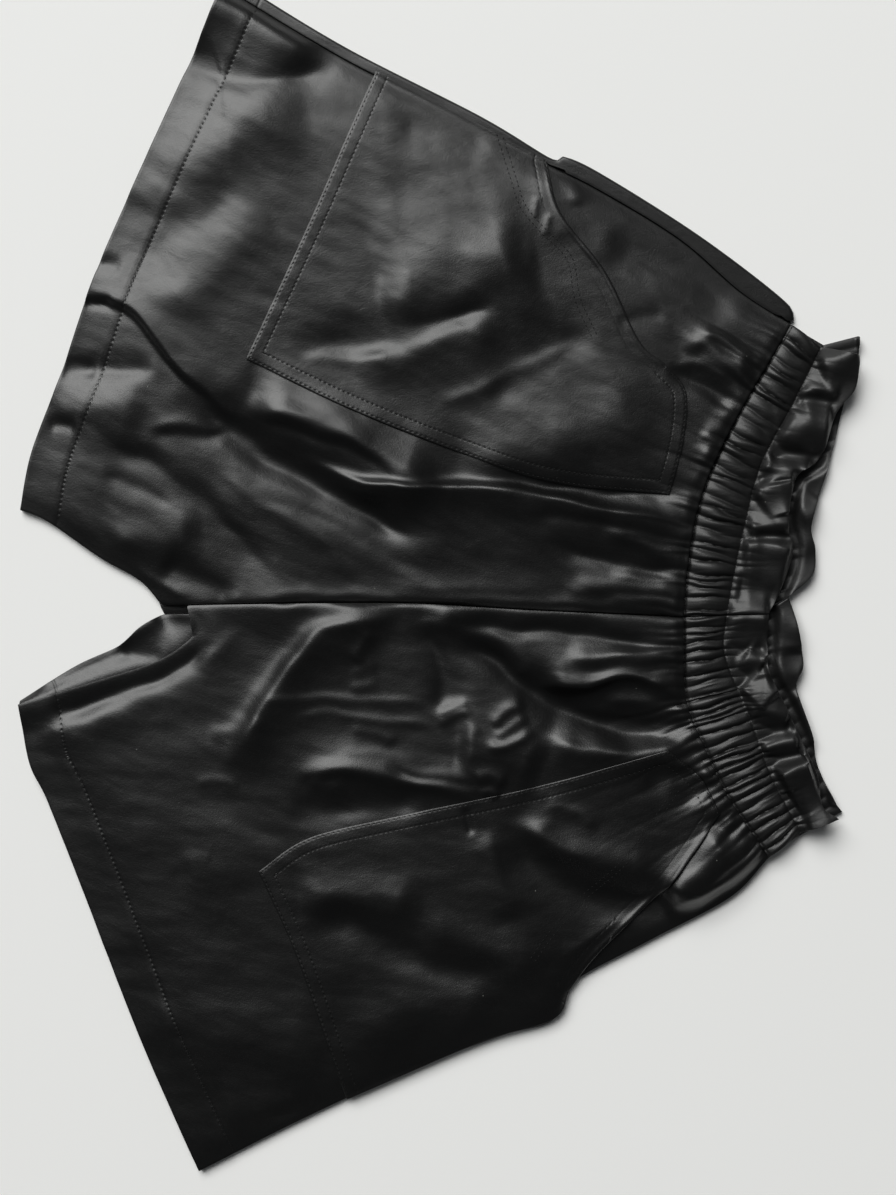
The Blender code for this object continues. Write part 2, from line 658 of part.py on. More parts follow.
def build():
    clear_scene()
    cloth = leather("black_leather", (0.022, 0.022, 0.024), 0.36)
    casing_cloth = leather("casing_leather", (0.026, 0.026, 0.028), 0.38)

    def line(places):
        return smooth_line(places, OUTLINE_STEP)

    waists = {}
    for side, out in (("right", 1), ("left", -1)):
        front = Waist(FRONT_WAIST[side], FRONT_GATHERS, FRONT_WAVES, out)
        back = Waist(BACK_WAIST[side], BACK_GATHERS, BACK_WAVES, out, under=front)
        waists["front", side], waists["back", side] = front, back
        add_casing(f"waistband_front_{side}", front, FRONT_ROWS, front_heights, casing_cloth)
        add_casing(f"waistband_back_{side}", back, BACK_ROWS, back_heights(front), casing_cloth)

    centre = line(CENTRE_FRONT)
    seam = line(SIDE_SEAM_RIGHT)
    right = Front(
        line(HEM_RIGHT),
        line(INSEAM_RIGHT),
        beside(centre, -GAP / 2),
        waists["front", "right"].panel_edge(),
        beside(seam, -GAP / 2),
        FOLDS_RIGHT,
    )
    outline = joined(right.hem, right.inseam, right.centre, right.waist, right.side)
    add_front("right", right, outline, POCKET_RIGHT, cloth)

    centre = centre[centre[:, 1] > at(CROTCH_LEFT_PX, 0)[1]]
    left = Front(
        line(HEM_LEFT),
        line(INSEAM_LEFT),
        beside(centre, GAP / 2),
        waists["front", "left"].panel_edge(),
        line(SIDE_LEFT),
        FOLDS_LEFT,
    )
    outline = joined(left.centre, left.waist, left.side, left.hem, left.inseam)
    add_front("left", left, outline, POCKET_LEFT, cloth)

    centre = line(CENTRE_BACK)
    edge = beside(line(SIDE_EDGE_RIGHT), -SIDE_RADIUS)
    hem = with_first(line((SIDE_EDGE_RIGHT[-1], *HEM_RIGHT[1:])), edge[-1])
    outline = joined(
        hem, line(INSEAM_RIGHT), beside(centre, -GAP / 2), waists["back", "right"].panel_edge(), edge
    )
    add_back("right", outline, hem, cloth, turned_over(edge, seam))
    outline = joined(
        beside(centre, GAP / 2),
        waists["back", "left"].panel_edge(),
        left.side,
        left.hem,
        line(BACK_INSEAM_LEFT),
    )
    add_back("left", outline, left.hem, cloth)


build()
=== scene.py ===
# %% [markdown]
# # Black leather shorts, laid flat
#
# A pair of pull-on leather shorts lies on a pale surface, front up. The waist is gathered on
# elastic, with a ruffle above it, and each front has a patch pocket. The solids of the frame
# already hold the garment's real shape. This notebook dresses them: each panel becomes a
# fine wall of cloth with its creases, puckers and stitches, in satin black leather.
#
# Everything is in metres and in the frame of the solids: +Z is up from the surface, +Y runs
# towards the waist and +X towards the wearer's left leg.

import math

import bmesh
import bpy
import numpy as np
from mathutils import Matrix, Vector
from mathutils.bvhtree import BVHTree


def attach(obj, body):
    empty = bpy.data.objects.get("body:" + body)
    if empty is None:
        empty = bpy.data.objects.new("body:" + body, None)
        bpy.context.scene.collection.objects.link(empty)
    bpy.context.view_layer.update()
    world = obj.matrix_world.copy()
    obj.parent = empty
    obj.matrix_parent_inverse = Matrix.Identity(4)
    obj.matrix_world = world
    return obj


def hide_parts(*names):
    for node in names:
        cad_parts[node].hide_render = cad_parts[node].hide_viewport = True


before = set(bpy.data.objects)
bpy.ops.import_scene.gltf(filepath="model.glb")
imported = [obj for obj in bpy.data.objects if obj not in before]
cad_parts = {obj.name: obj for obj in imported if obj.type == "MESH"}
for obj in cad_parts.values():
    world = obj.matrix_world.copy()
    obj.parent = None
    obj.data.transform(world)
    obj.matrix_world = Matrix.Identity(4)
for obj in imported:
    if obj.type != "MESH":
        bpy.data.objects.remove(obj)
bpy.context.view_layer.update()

# %% [markdown]
# ## Sizes
#
# One size sets the scale: the leg opening, 320 mm wide when it lies flat. The places where
# seams and folds run were read off the photograph in its own pixels, to the right and down,
# so a single number turns a pixel into metres. Thicknesses and heights are real sizes.

# %% Driving sizes
MM = 0.001
LEG_OPENING = 0.320
LEG_OPENING_PX = 551
PX = LEG_OPENING / LEG_OPENING_PX
MIDDLE_PX, MIDDLE_PY = 439.0, 573.5

CLOTH = 1.4 * MM
HEM_DEPTH = 23 * MM
HEM_PLY, HEM_STEP = 1.0 * MM, 3 * MM
STITCH_STEP = 3.0 * MM
HEM_SHOWS = 0.35 * MM  # the pressed hem's edge hardly shows on the outside
EDGE_ROW, INNER_ROW = 1.3 * MM, 7.5 * MM  # the two rows of stitches of a pocket, from its edge
POCKET_CLOTH = 1.2 * MM
CASING = 2.8 * MM
GAP = 0.3 * MM
SIDE_RADIUS = 1.95 * MM
BACK_GATHER_HEIGHT = 0.8 * MM
FRONT_BED = CASING + BACK_GATHER_HEIGHT + GAP
print(f"scale: {PX / MM:.4f} mm for each pixel")

# %% [markdown]
# ## Lines read off the photograph
#
# Each outline is a short list of places that a smooth curve goes through: the hems, the
# inseams, the side seams and the centre seam. The waist has three lines for each half: the
# seam where the casing is sewn on, the upper stitches of the casing and the ruffle's edge.

# %% Outlines of the panels
HEM_RIGHT = ((224, -12), (165, 118), (100, 265), (59, 381), (32, 452), (20, 510))
INSEAM_RIGHT = ((20, 510), (48, 522), (100, 558), (140, 581), (162, 606))
SIDE_SEAM_RIGHT = (
    (790, 325), (740, 292), (680, 240), (600, 191), (545, 163), (440, 108), (340, 57), (224, -12),
)
SIDE_EDGE_RIGHT = (
    (795, 320), (785, 300), (700, 235), (600, 172), (562, 155), (552, 158), (480, 115), (345, 46),
    (228, -25),
)
HEM_LEFT = ((199, 1171), (140, 1035), (80, 880), (48, 800), (30, 762), (20, 704))
INSEAM_LEFT = ((20, 704), (100, 680), (160, 660), (195, 635), (198, 618), (187, 606))
BACK_INSEAM_LEFT = ((19, 701), (75, 666), (118, 646), (140, 627), (162, 614))
SIDE_LEFT = (
    (768, 857), (730, 897), (650, 940), (572, 983), (553, 1020), (500, 1036), (400, 1074),
    (300, 1120), (199, 1171),
)
CENTRE_FRONT = ((162, 606), (250, 604), (400, 603), (530, 610), (682, 617))
CENTRE_BACK = ((162, 614), (400, 612), (716, 617))
CROTCH_LEFT_PX = 187

# %% Lines of the waist, from the centre out
FRONT_WAIST = {
    "right": (
        ((682, 617), (686, 570), (695, 515), (712, 465), (740, 410), (790, 325)),
        ((726, 615), (733, 575), (744, 525), (760, 465), (790, 408), (820, 348)),
        (
            (767, 614), (777, 595), (791, 553), (785, 520), (795, 478), (818, 460), (834, 415),
            (853, 390), (857, 358),
        ),
    ),
    "left": (
        ((682, 617), (684, 695), (702, 745), (727, 797), (768, 857)),
        ((726, 615), (724, 655), (748, 715), (770, 775), (800, 832)),
        ((767, 614), (766, 650), (768, 676), (784, 705), (800, 740), (817, 778), (820, 805), (836, 817)),
    ),
}
BACK_WAIST = {
    "right": (
        ((716, 617), (722, 570), (733, 510), (750, 455), (770, 400), (795, 328)),
        ((758, 615), (766, 570), (776, 515), (792, 455), (812, 400), (824, 345)),
        (
            (788, 597), (812, 575), (815, 550), (810, 525), (824, 480), (834, 445), (845, 402),
            (858, 365), (859, 336),
        ),
    ),
    "left": (
        ((716, 617), (718, 690), (734, 745), (752, 795), (772, 852)),
        ((758, 615), (758, 660), (778, 725), (796, 785), (804, 834)),
        ((788, 597), (796, 625), (803, 664), (796, 688), (812, 735), (818, 765), (834, 800), (843, 812)),
    ),
}

# %% Outlines of the pockets: hem side, inner edge, waist end, hand opening, side seam
POCKET_RIGHT = (
    ((376, 72), (315, 215), (248, 361)),
    ((248, 361), (350, 410), (450, 450), (550, 483), (668, 495)),
    ((668, 495), (682, 440), (684, 392), (663, 365)),
    ((663, 365), (638, 343), (605, 275), (560, 215), (547, 162)),
    ((547, 162), (460, 115), (376, 72)),
)
POCKET_LEFT = (
    ((347, 1099), (300, 960), (260, 869)),
    ((260, 869), (310, 836), (400, 814), (540, 784), (666, 748)),
    ((666, 748), (700, 778), (718, 812)),
    ((718, 812), (690, 853), (659, 892), (600, 950), (569, 990)),
    ((569, 990), (553, 1019), (480, 1042), (347, 1099)),
)

# %% [markdown]
# ## Folds
#
# Real leather creases where it was bent, so every fold here has a line of its own, a height
# and two sides. A height below 0 is a trough. The left and right of a fold are those of
# someone who walks its line, and say in millimetres how far that side reaches: a short side
# is a steep one. The last number rounds the crest. The first table of each leg has the large
# folds of the solids, with the softer sides that the leather shows from close up. The second
# one adds small creases, the highlights' crinkles, and the roll along the centre seam.

# %% Large folds
FOLD_COLUMNS = ("line", "rise", "left", "right", "crease")
FOLDS_RIGHT = {
    "hem_roll": (((60, 297), (118, 304), (170, 352), (215, 403), (255, 425)), 3.2, 22, 2, 0.6),
    "hem_roll_line": (((78, 303), (118, 308), (166, 356), (214, 410)), -1, 1, 2.2, 0.3),
    "hem_roll_foot": (((180, 385), (215, 420), (270, 458), (350, 505), (437, 552)), -6.8, 11, 8, 1.5),
    "thigh_ridge": (((240, 405), (330, 430), (390, 466), (452, 484)), 8, 14, 11, 2.2),
    "pleat_lip": (((300, 455), (345, 480), (400, 488), (500, 491), (705, 532)), 7, 3, 15, 1.3),
    "pleat_gap": (((478, 482), (560, 489), (640, 495), (692, 497)), -2.5, 6, 4, 1.5),
    "hem_hollow": (((50, 376), (100, 370), (160, 368)), -2.2, 8, 5, 2),
    "hem_wave": (((45, 415), (95, 408), (150, 420)), 1.6, 9, 9, 3),
    "inseam_swell": (((106, 546), (150, 538), (205, 530)), 2.2, 14, 9, 3),
    "inseam_dip": (((158, 560), (190, 578), (238, 602)), -2.4, 7, 7, 2.5),
    "thigh_dip": (((88, 440), (150, 466), (200, 500), (240, 545), (290, 592)), -2.8, 6, 12, 2),
    "hem_corner": (((150, 50), (193, 64), (225, 76), (255, 82), (290, 79), (342, 60)), -3.6, 12, 8, 1),
    "hem_corner_lift": (((150, 34), (196, -2), (245, 2), (292, 24), (345, 55)), 9, 8, 25, 2),
    "hem_swell": (((140, 225), (205, 150), (310, 112)), 3, 18, 18, 9),
    "hem_dip": (((140, 285), (190, 222), (250, 186)), -2, 13, 11, 5),
    "hem_side_swell": (((170, 330), (215, 260), (275, 210)), 2.4, 17, 17, 9),
    "pocket_dip_high": (((385, 135), (430, 130), (500, 140)), -1.2, 10, 10, 5),
    "pocket_dip_side": (((375, 190), (450, 180), (520, 186)), -0.9, 12, 12, 6),
    "pocket_swell": (((375, 300), (450, 285), (540, 262)), 5.5, 28, 20, 9),
    "pocket_crease": (((290, 345), (380, 346), (440, 326), (505, 306)), -2.4, 9, 6, 2.5),
    "pocket_roll": (((350, 372), (430, 345), (510, 325)), 2.8, 9, 12, 3),
    "pocket_dip": (((486, 412), (530, 362), (598, 334)), -2.0, 8, 9, 2.5),
    "pocket_swell_low": (((455, 462), (540, 450), (620, 428), (668, 408)), 3.4, 22, 12, 6),
    "pucker": (((546, 168), (548, 205), (566, 250)), 1.0, 9, 8, 3),
    "hip_dip": (((600, 238), (680, 276), (745, 314)), -1.8, 9, 9, 4),
    "waist_roll": (((676, 352), (700, 345), (725, 368), (756, 378)), 3.2, 7, 6, 1.5),
    "waist_dip": (((668, 366), (700, 385), (732, 415)), -2.0, 6, 5, 1.5),
    "gather_high": (((545, 538), (600, 560), (692, 577)), -2.4, 6, 4, 1.2),
    "gather_low": (((560, 592), (620, 586), (688, 592)), 2.2, 7, 5, 1.5),
    "gather_mid": (((600, 530), (650, 548), (690, 556)), 2, 6, 5, 1.5),
}
FOLDS_LEFT = {
    "crotch_roll": (((16, 734), (60, 732), (160, 688), (205, 658), (250, 624)), 3.0, 7, 15, 1.5),
    "crotch_trough": (
        ((40, 716), (104, 693), (135, 683), (166, 672), (189, 658), (214, 632)), -6, 8, 6, 1.5,
    ),
    "leg_roll": (((226, 776), (245, 740), (305, 652), (345, 624), (402, 615)), 6, 5.5, 14, 2),
    "centre_trough": (((424, 620), (437, 655), (443, 690), (446, 714)), -2.6, 7, 6, 1.5),
    "centre_ridge": (((418, 620), (470, 627), (515, 655), (542, 692)), 4, 11, 9, 3),
    "pleat_floor": (((436, 622), (488, 655), (540, 697), (600, 722), (700, 743)), -6.5, 9, 7, 2),
    "pleat_lip": (((533, 688), (580, 681), (640, 675), (684, 702)), 7, 12, 3.5, 1.2),
    "pleat_under": (((538, 726), (570, 748), (605, 752), (696, 745)), 5.5, 6, 11, 1.5),
    "belly_ridge": (((290, 772), (340, 767), (400, 778), (490, 790)), 4.6, 8, 5, 1.6),
    "belly_dip": (((288, 802), (340, 808), (430, 800)), -2.6, 7, 7, 3),
    "belly_swell": (((452, 750), (500, 752), (545, 764)), 4.0, 16, 12, 6),
    "shin_swell": (((180, 872), (225, 862), (256, 820)), 1.2, 16, 14, 7),
    "pocket_ridge": (((296, 894), (360, 893), (425, 908)), 3, 9, 11, 4),
    "pocket_dip": (((300, 917), (360, 925), (410, 955), (505, 985)), -3, 9, 8, 3),
    "pocket_swell": (((410, 925), (470, 940), (545, 975)), 2.6, 11, 11, 5),
    "pocket_fold": (((498, 822), (530, 856), (562, 884), (612, 902), (700, 908)), -4.2, 9, 9, 3),
    "pocket_fold_top": (((512, 815), (560, 848), (620, 862), (668, 868)), 4.6, 10, 8, 3),
    "pocket_triangle": (((486, 822), (497, 870), (512, 922)), 1.8, 6, 10, 2),
    "side_swell": (((132, 1015), (240, 1030), (335, 1050)), 3, 16, 16, 8),
    "side_swell_low": (((350, 1030), (420, 1008), (500, 1012)), 2.2, 12, 12, 5),
    "hem_corner_swell": (((215, 1108), (260, 1106), (312, 1104)), 2, 10, 10, 5),
    "casing_trough": (((640, 785), (672, 770), (700, 800)), -2, 7, 7, 2),
    "hand_roll": (((664, 900), (695, 866), (728, 832)), 4.5, 8, 12, 2),
    "gather_high": (((440, 622), (560, 632), (640, 643), (684, 643)), -3, 5, 4, 1),
    "gather_low": (((560, 658), (640, 652), (684, 655)), 2.5, 5, 4, 1.2),
}

# %% Small creases
CREASES_RIGHT = {
    "centre_dip": (((250, 598), (400, 598), (560, 605), (690, 612)), -2.4, 30, 3, 3),
    "seam_ridge": (((212, 599), (300, 596), (440, 598), (560, 603), (690, 611)), 1.2, 4, 3, 0.8),
    "crotch_seam": (((130, 566), (155, 580), (175, 590), (192, 604)), 1.3, 1.5, 2, 0.5),
    "press_line": (((150, 436), (175, 437), (228, 437)), -0.9, 2, 4, 0.8),
    "press_lip": (((150, 428), (190, 427), (235, 430)), 0.9, 4, 2, 0.8),
    "valley_two": (((250, 420), (300, 432), (345, 447), (400, 478)), -2.2, 3, 4, 1),
    "thigh_line": (((100, 475), (140, 490), (180, 506)), -0.9, 3, 3, 1),
    "thigh_line_two": (((215, 470), (260, 500), (320, 540), (360, 580)), 1.1, 4, 6, 1.5),
    "thigh_line_three": (((260, 500), (330, 520), (400, 560), (470, 590)), -1.0, 5, 4, 1.5),
    "centre_line": (((380, 590), (460, 585), (560, 590)), 0.8, 4, 4, 1.5),
    "gather_a": (((520, 515), (600, 524), (690, 545)), -1.2, 3, 3, 1),
    "gather_b": (((600, 600), (650, 601), (690, 603)), 1.0, 3, 3, 1),
    "gather_c": (((610, 574), (650, 578), (690, 582)), 1.0, 2.5, 2.5, 1),
    "pocket_line": (((400, 330), (450, 318), (500, 310)), -0.9, 3, 3, 1),
    "pocket_line_two": (((300, 357), (350, 362), (400, 355)), 0.8, 4, 4, 1),
    "pocket_line_three": (((420, 300), (450, 285), (470, 262)), -0.3, 5, 5, 2),
    "pocket_line_four": (((430, 405), (470, 395), (500, 380), (585, 340)), 1.0, 4, 4, 1),
    "pucker_side": (((520, 210), (530, 240), (526, 282)), 0.5, 4, 4, 1.5),
    "pucker_line": (((538, 200), (533, 222)), 0.5, 1.5, 1.5, 0.5),
    "pucker_line_two": (((549, 215), (544, 240)), 0.5, 1.5, 1.5, 0.5),
    "hem_band": (((45, 425), (60, 424), (78, 428)), -1.5, 3, 3, 1),
    "hem_band_two": (((60, 372), (80, 368), (100, 372)), -1.2, 3, 3, 1),
    "hem_band_three": (((84, 300), (100, 303), (115, 303)), -1.6, 2.5, 2.5, 1),
    "hem_band_four": (((88, 268), (110, 262), (125, 270)), -1.1, 3, 3, 1),
    "hip_line": (((614, 326), (640, 322), (665, 314)), -0.6, 3, 4, 1.2),
    "hip_line_two": (((560, 152), (575, 180), (580, 210)), 1.2, 5, 5, 1.5),
    "waist_line": (((690, 335), (715, 338), (735, 355), (750, 375)), 1.6, 3.5, 3.5, 1),
    "waist_line_two": (((672, 365), (700, 366), (730, 385)), 1.3, 3, 3, 0.8),
    "waist_line_three": (((700, 430), (712, 440), (700, 470)), 1.5, 4, 4, 1),
}
CREASES_LEFT = {
    "seam_roll": (((180, 604), (230, 604), (330, 604), (400, 606)), 2.0, 2, 14, 2),
    "seam_ridge": (((190, 606), (300, 604), (440, 606), (560, 610), (690, 616)), 2.2, 3, 11, 1.2),
    "press_high": (((250, 701), (330, 699), (400, 701), (436, 704)), 0.8, 1.5, 3, 0.6),
    "press_low": (((290, 716), (340, 714), (440, 724)), 0.7, 1.5, 3, 0.6),
    "crumple_a": (((372, 628), (362, 645), (350, 662)), 1.4, 4, 3, 1),
    "crumple_b": (((350, 672), (365, 668), (380, 663)), 0.6, 3, 3, 1),
    "crumple_c": (((348, 690), (364, 686), (382, 680)), 0.7, 3, 3, 1),
    "glint_a": (((438, 724), (452, 716), (472, 709)), 1.0, 3, 2, 0.8),
    "glint_b": (((492, 724), (506, 711), (526, 704)), 1.3, 3.5, 2, 0.8),
    "glint_c": (((486, 749), (506, 745), (524, 735), (530, 722)), 1.5, 4, 2.5, 1),
    "glint_d": (((440, 712), (454, 706), (468, 701)), 0.8, 2, 1.5, 0.6),
    "glint_e": (((496, 736), (512, 724), (527, 714)), 1.1, 3, 2, 0.8),
    "glint_f": (((448, 745), (466, 738), (480, 724)), 0.5, 4, 3, 1.2),
    "glint_g": (((474, 782), (485, 776), (505, 783)), 2.0, 4, 3, 1.2),
    "glint_h": (((478, 792), (490, 790), (500, 796)), 1.4, 2, 1.5, 0.5),
    "belly_line": (((380, 768), (430, 778), (482, 786)), -1.4, 2, 3, 0.7),
    "belly_crumple": (((310, 778), (330, 786), (352, 780)), 1.1, 4, 4, 1),
    "belly_crumple_two": (((350, 728), (380, 732), (395, 745)), 0.9, 4, 4, 1.2),
    "belly_fold": (((330, 748), (380, 755), (430, 765)), 0.6, 5, 4, 1.5),
    "leg_crumple": (((205, 735), (240, 728), (270, 715)), 0.9, 4, 4, 1.2),
    "leg_crumple_two": (((196, 786), (218, 780), (244, 784)), 0.5, 3, 3, 1),
    "leg_crumple_three": (((180, 858), (200, 854), (215, 858)), 0.4, 4, 4, 1),
    "gather_a": (((560, 672), (600, 668), (650, 668), (688, 672)), -1.2, 3, 2.5, 0.8),
    "gather_b": (((600, 700), (650, 705), (695, 715)), 1.1, 3, 3, 1),
    "gather_c": (((590, 722), (640, 722), (695, 728)), -1.0, 3, 3, 1),
    "pocket_line": (((462, 804), (466, 818), (470, 832)), -1.0, 1.5, 1.5, 0.5),
    "pocket_line_two": (((540, 800), (580, 812), (600, 830)), 0.9, 3, 4, 1),
    "pocket_line_three": (((560, 960), (600, 930), (640, 912)), 1.0, 4, 4, 1.2),
    "hip_facet": (((656, 912), (700, 890), (735, 868), (764, 842)), 7, 17, 6, 2),
    "hand_line": (((690, 900), (710, 885), (735, 865)), 0.8, 4, 5, 1.5),
    "hand_line_two": (((705, 880), (728, 862), (752, 850)), -0.7, 3, 3, 1),
    "hip_line": (((670, 918), (700, 900), (735, 885)), -1.0, 4, 4, 1.5),
    "casing_line": (((655, 760), (690, 765), (715, 785)), 1.2, 3, 3, 1),
    "casing_line_two": (((690, 800), (710, 805), (735, 830)), 1.0, 3, 3, 1),
}

# %% [markdown]
# ## Curves and distances
#
# A fold acts on each point of the cloth by how far that point lies from the fold's line, and
# on which side. So the few tools needed are a smooth curve through places, even steps along
# it, and a signed distance. They work on whole arrays of points at once, which is what makes
# tens of thousands of points quick.


# %% Curves
CURVE_STEP = 3 * MM
CURVE_PARTS = 12  # between two places, before the points are spaced evenly


def at(px, py):
    """A place in the photograph, in metres on the surface."""
    return np.array(((py - MIDDLE_PY) * PX, (px - MIDDLE_PX) * PX))


def smooth_line(places):
    """Even points on a smooth curve through places of the photograph."""
    knots = np.array([at(*place) for place in places])
    ends = (2 * knots[0] - knots[1], 2 * knots[-1] - knots[-2])
    padded = np.vstack((ends[0], knots, ends[1]))
    fine = [knots[0]]
    for a, b, c, d in zip(padded, padded[1:], padded[2:], padded[3:]):
        for t in np.linspace(0, 1, CURVE_PARTS + 1)[1:]:
            bend = (2 * a - 5 * b + 4 * c - d) * t**2 + (3 * b - a - 3 * c + d) * t**3
            fine.append(b + ((c - a) * t + bend) / 2)
    return spaced(np.array(fine), CURVE_STEP)


def spaced(line, step=None, count=None):
    """The polyline resampled to even steps, which keeps its two ends."""
    run = np.concatenate(([0], np.cumsum(np.linalg.norm(np.diff(line, axis=0), axis=1))))
    count = count or max(2, round(run[-1] / step) + 1)
    where = np.linspace(0, run[-1], count)
    return np.column_stack([np.interp(where, run, line[:, k]) for k in (0, 1)])


def to_right(line):
    """Unit vectors to the right of someone who walks the line in the photograph."""
    along = np.gradient(line, axis=0)
    along /= np.linalg.norm(along, axis=1)[:, None]
    return np.column_stack((along[:, 1], -along[:, 0]))


def beside(line, distance):
    """The line moved to its right, or to its left if the distance is below 0."""
    return line + to_right(line) * distance


def length_of(line):
    return float(np.linalg.norm(np.diff(line, axis=0), axis=1).sum())


# %% Distances
TINY = 1e-12  # keeps a division from being one by 0


def nearest(points, line):
    """Signed distance of each point from a polyline, and how far along it, from 0 to 1."""
    start, step = line[:-1], np.diff(line, axis=0)
    length = np.linalg.norm(step, axis=1)
    run = np.concatenate(([0], np.cumsum(length)))
    offset_x = points[:, :1] - start[None, :, 0]
    offset_y = points[:, 1:] - start[None, :, 1]
    share = np.clip((offset_x * step[:, 0] + offset_y * step[:, 1]) / length**2, 0, 1)
    apart = (offset_x - share * step[:, 0]) ** 2 + (offset_y - share * step[:, 1]) ** 2
    best = apart.argmin(1)
    rows = np.arange(len(points))
    turn = step[best, 1] * offset_x[rows, best] - step[best, 0] * offset_y[rows, best]
    along = (run[best] + share[rows, best] * length[best]) / run[-1]
    return np.sqrt(apart[rows, best]) * np.where(turn > 0, 1, -1), along


def distance(points, line):
    return np.abs(nearest(points, line)[0])


def eased(share):
    """0 to 1 with soft ends."""
    share = np.clip(share, 0, 1)
    return share * share * (3 - 2 * share)


# %% [markdown]
# ## Unevenness
#
# No crease in leather is straight or of one height. Gradient noise gives smooth random
# hills of a chosen width. It bends the lines of the folds a little, varies their height, and
# adds the slight waviness of cloth that was worn and then laid down.


# %% Noise, whose directions come out of a mix of whole numbers
NOISE_SHIFT = 0.37  # each seed moves the cells of the noise a little
NOISE_GAIN = 1.6  # brings its heights to about -1 to 1
MIX_ROW, MIX_COLUMN, MIX_SEED, MIX_KEY = 374761393, 668265263, 974634777, 1274126177
LOW_BITS = 0xFFFFFFFF


def noise(points, size, seed):
    """Smooth random heights, about -1 to 1, whose hills are about size across."""
    cells = points / size + NOISE_SHIFT * seed
    base = np.floor(cells).astype(np.int64)
    part = cells - base
    total = np.zeros(len(points))
    for corner in ((0, 0), (0, 1), (1, 0), (1, 1)):
        key = (base[:, 0] + corner[0]) * MIX_ROW + (base[:, 1] + corner[1]) * MIX_COLUMN
        key = ((key + seed * MIX_SEED) & LOW_BITS).astype(np.uint64)
        key = ((key ^ (key >> np.uint64(13))) * np.uint64(MIX_KEY)) & np.uint64(LOW_BITS)
        angle = (key ^ (key >> np.uint64(16))).astype(float) / 2**32 * 2 * math.pi
        offset = part - corner
        weight = eased(1 - np.abs(offset[:, 0])) * eased(1 - np.abs(offset[:, 1]))
        total += weight * (np.cos(angle) * offset[:, 0] + np.sin(angle) * offset[:, 1])
    return total * NOISE_GAIN


def wandered(points, size, reach, seed):
    """The points pushed about sideways, so that straight lines waver."""
    shift = np.column_stack((noise(points, size, seed), noise(points, size, seed + 1)))
    return points + reach * shift


def turned(points, degrees, stretch):
    """The points in axes turned by an angle, shrunk along the first one."""
    turn = math.radians(degrees)
    along = points @ np.array((math.cos(turn), math.sin(turn)))
    across = points @ np.array((-math.sin(turn), math.cos(turn)))
    return np.column_stack((along / stretch, across))


# %% [markdown]
# ## How high the cloth lies
#
# Each front is a height over the surface: it rises quickly off its side edges, slowly
# towards the middle of the leg, and up to the casing at the waist. The folds are added to
# that. A soft floor keeps a trough from sinking into the back panel below. The swells are
# those of the solids, so that the fine cloth lies where the solid is.

# %% Numbers of the height
EDGE_SWELL, EDGE_REACH = 1.6 * MM, 5 * MM  # a quick rise off the side edges
BODY_SWELL, BODY_REACH = 5.5 * MM, 34 * MM  # and a slow one to the middle of the leg
HEM_SWELL = 0.35  # the share of both that is left at the hem
WAIST_LIFT, WAIST_REACH = 2.4 * MM, 26 * MM
FADE = 0.22  # the share of a fold's line over which it starts, and ends
EDGE_HOLD, SEAM_HOLD = 0.75, 0.7  # how much of a fold the edges and the waist's seam press flat
WAIST_HOLD, EDGE_REST = 0.6, 0.85  # how much the waist flattens the swell, the edges all of it
SOFT_LANDING = 0.6 * MM
SOFTNESS = 1.3  # at 1 a fold would have a sharp crest and a long foot
FINEST_CREST = 1.2 * MM  # a crest that is sharper than the grid would be jagged
CULL_REACH = 8  # a fold is worked out only this many reaches around its line

WANDER, WANDER_SIZE = 2.2 * MM, 22 * MM  # how far the lines of the folds waver
UNEVEN, UNEVEN_SIZE = 0.2, 30 * MM  # how much the height of a fold varies
# slow and quick waves of cloth that isn't quite flat: (height, size) of each
BUCKLES = ((0.6 * MM, 34 * MM), (0.32 * MM, 15 * MM), (0.16 * MM, 7 * MM), (0.06 * MM, 4 * MM))
BUCKLE_STRETCH = 2.4  # they are longer than wide, along the leg's folds


# %% The sum of the folds
def fold_heights(points, folds, fade=FADE):
    total = np.zeros(len(points))
    for row in folds.values():
        fold = dict(zip(FOLD_COLUMNS, row))
        line = smooth_line(fold["line"])
        room = CULL_REACH * max(fold["left"], fold["right"]) * MM
        near = np.flatnonzero(((points > line.min(0) - room) & (points < line.max(0) + room)).all(1))
        if len(near):
            apart, along = nearest(points[near], line)
            reach = np.where(apart > 0, fold["right"], fold["left"]) * MM
            top = max(fold["crease"] * MM, FINEST_CREST)
            fall = np.exp(-(((np.hypot(apart, top) - top) / reach) ** SOFTNESS))
            total[near] += fold["rise"] * MM * fall * eased(along / fade) * eased((1 - along) / fade)
    return total


# %% [markdown]
# ## Gathers
#
# The casing is a strip much longer than the elastic inside it, so it stands up in narrow
# gathers, pinched between. A gather is a rounded crest, half a sine, between two sharp
# valleys. Each one gets its own width and height. The same gathers run down into the panel
# as puckers and up into the ruffle, where they fade into the ruffle's broader waves.

# %% Gathers of one half of a waist
GATHER_WIDTHS, GATHER_HEIGHTS = (0.55, 1.5), (0.45, 1.0)  # from the least to the most
PINCH = 0.75  # below 1 the crests are broad and the valleys between them sharp


class Gathers:
    """Crests of uneven width and height along a line, whose places run from 0 to 1."""

    def __init__(self, count, seed):
        own = np.random.default_rng(seed)
        widths = own.uniform(*GATHER_WIDTHS, count)
        self.ends = np.concatenate(([0], np.cumsum(widths) / widths.sum()))
        self.heights = own.uniform(*GATHER_HEIGHTS, count)
        self.count = count

    def __call__(self, places):
        turns = np.interp(places, self.ends, np.arange(self.count + 1))
        own = np.minimum(turns.astype(int), self.count - 1)
        crest = np.sin(math.pi * (turns - own)) ** 2
        return self.heights[own] * crest ** (PINCH / 2)


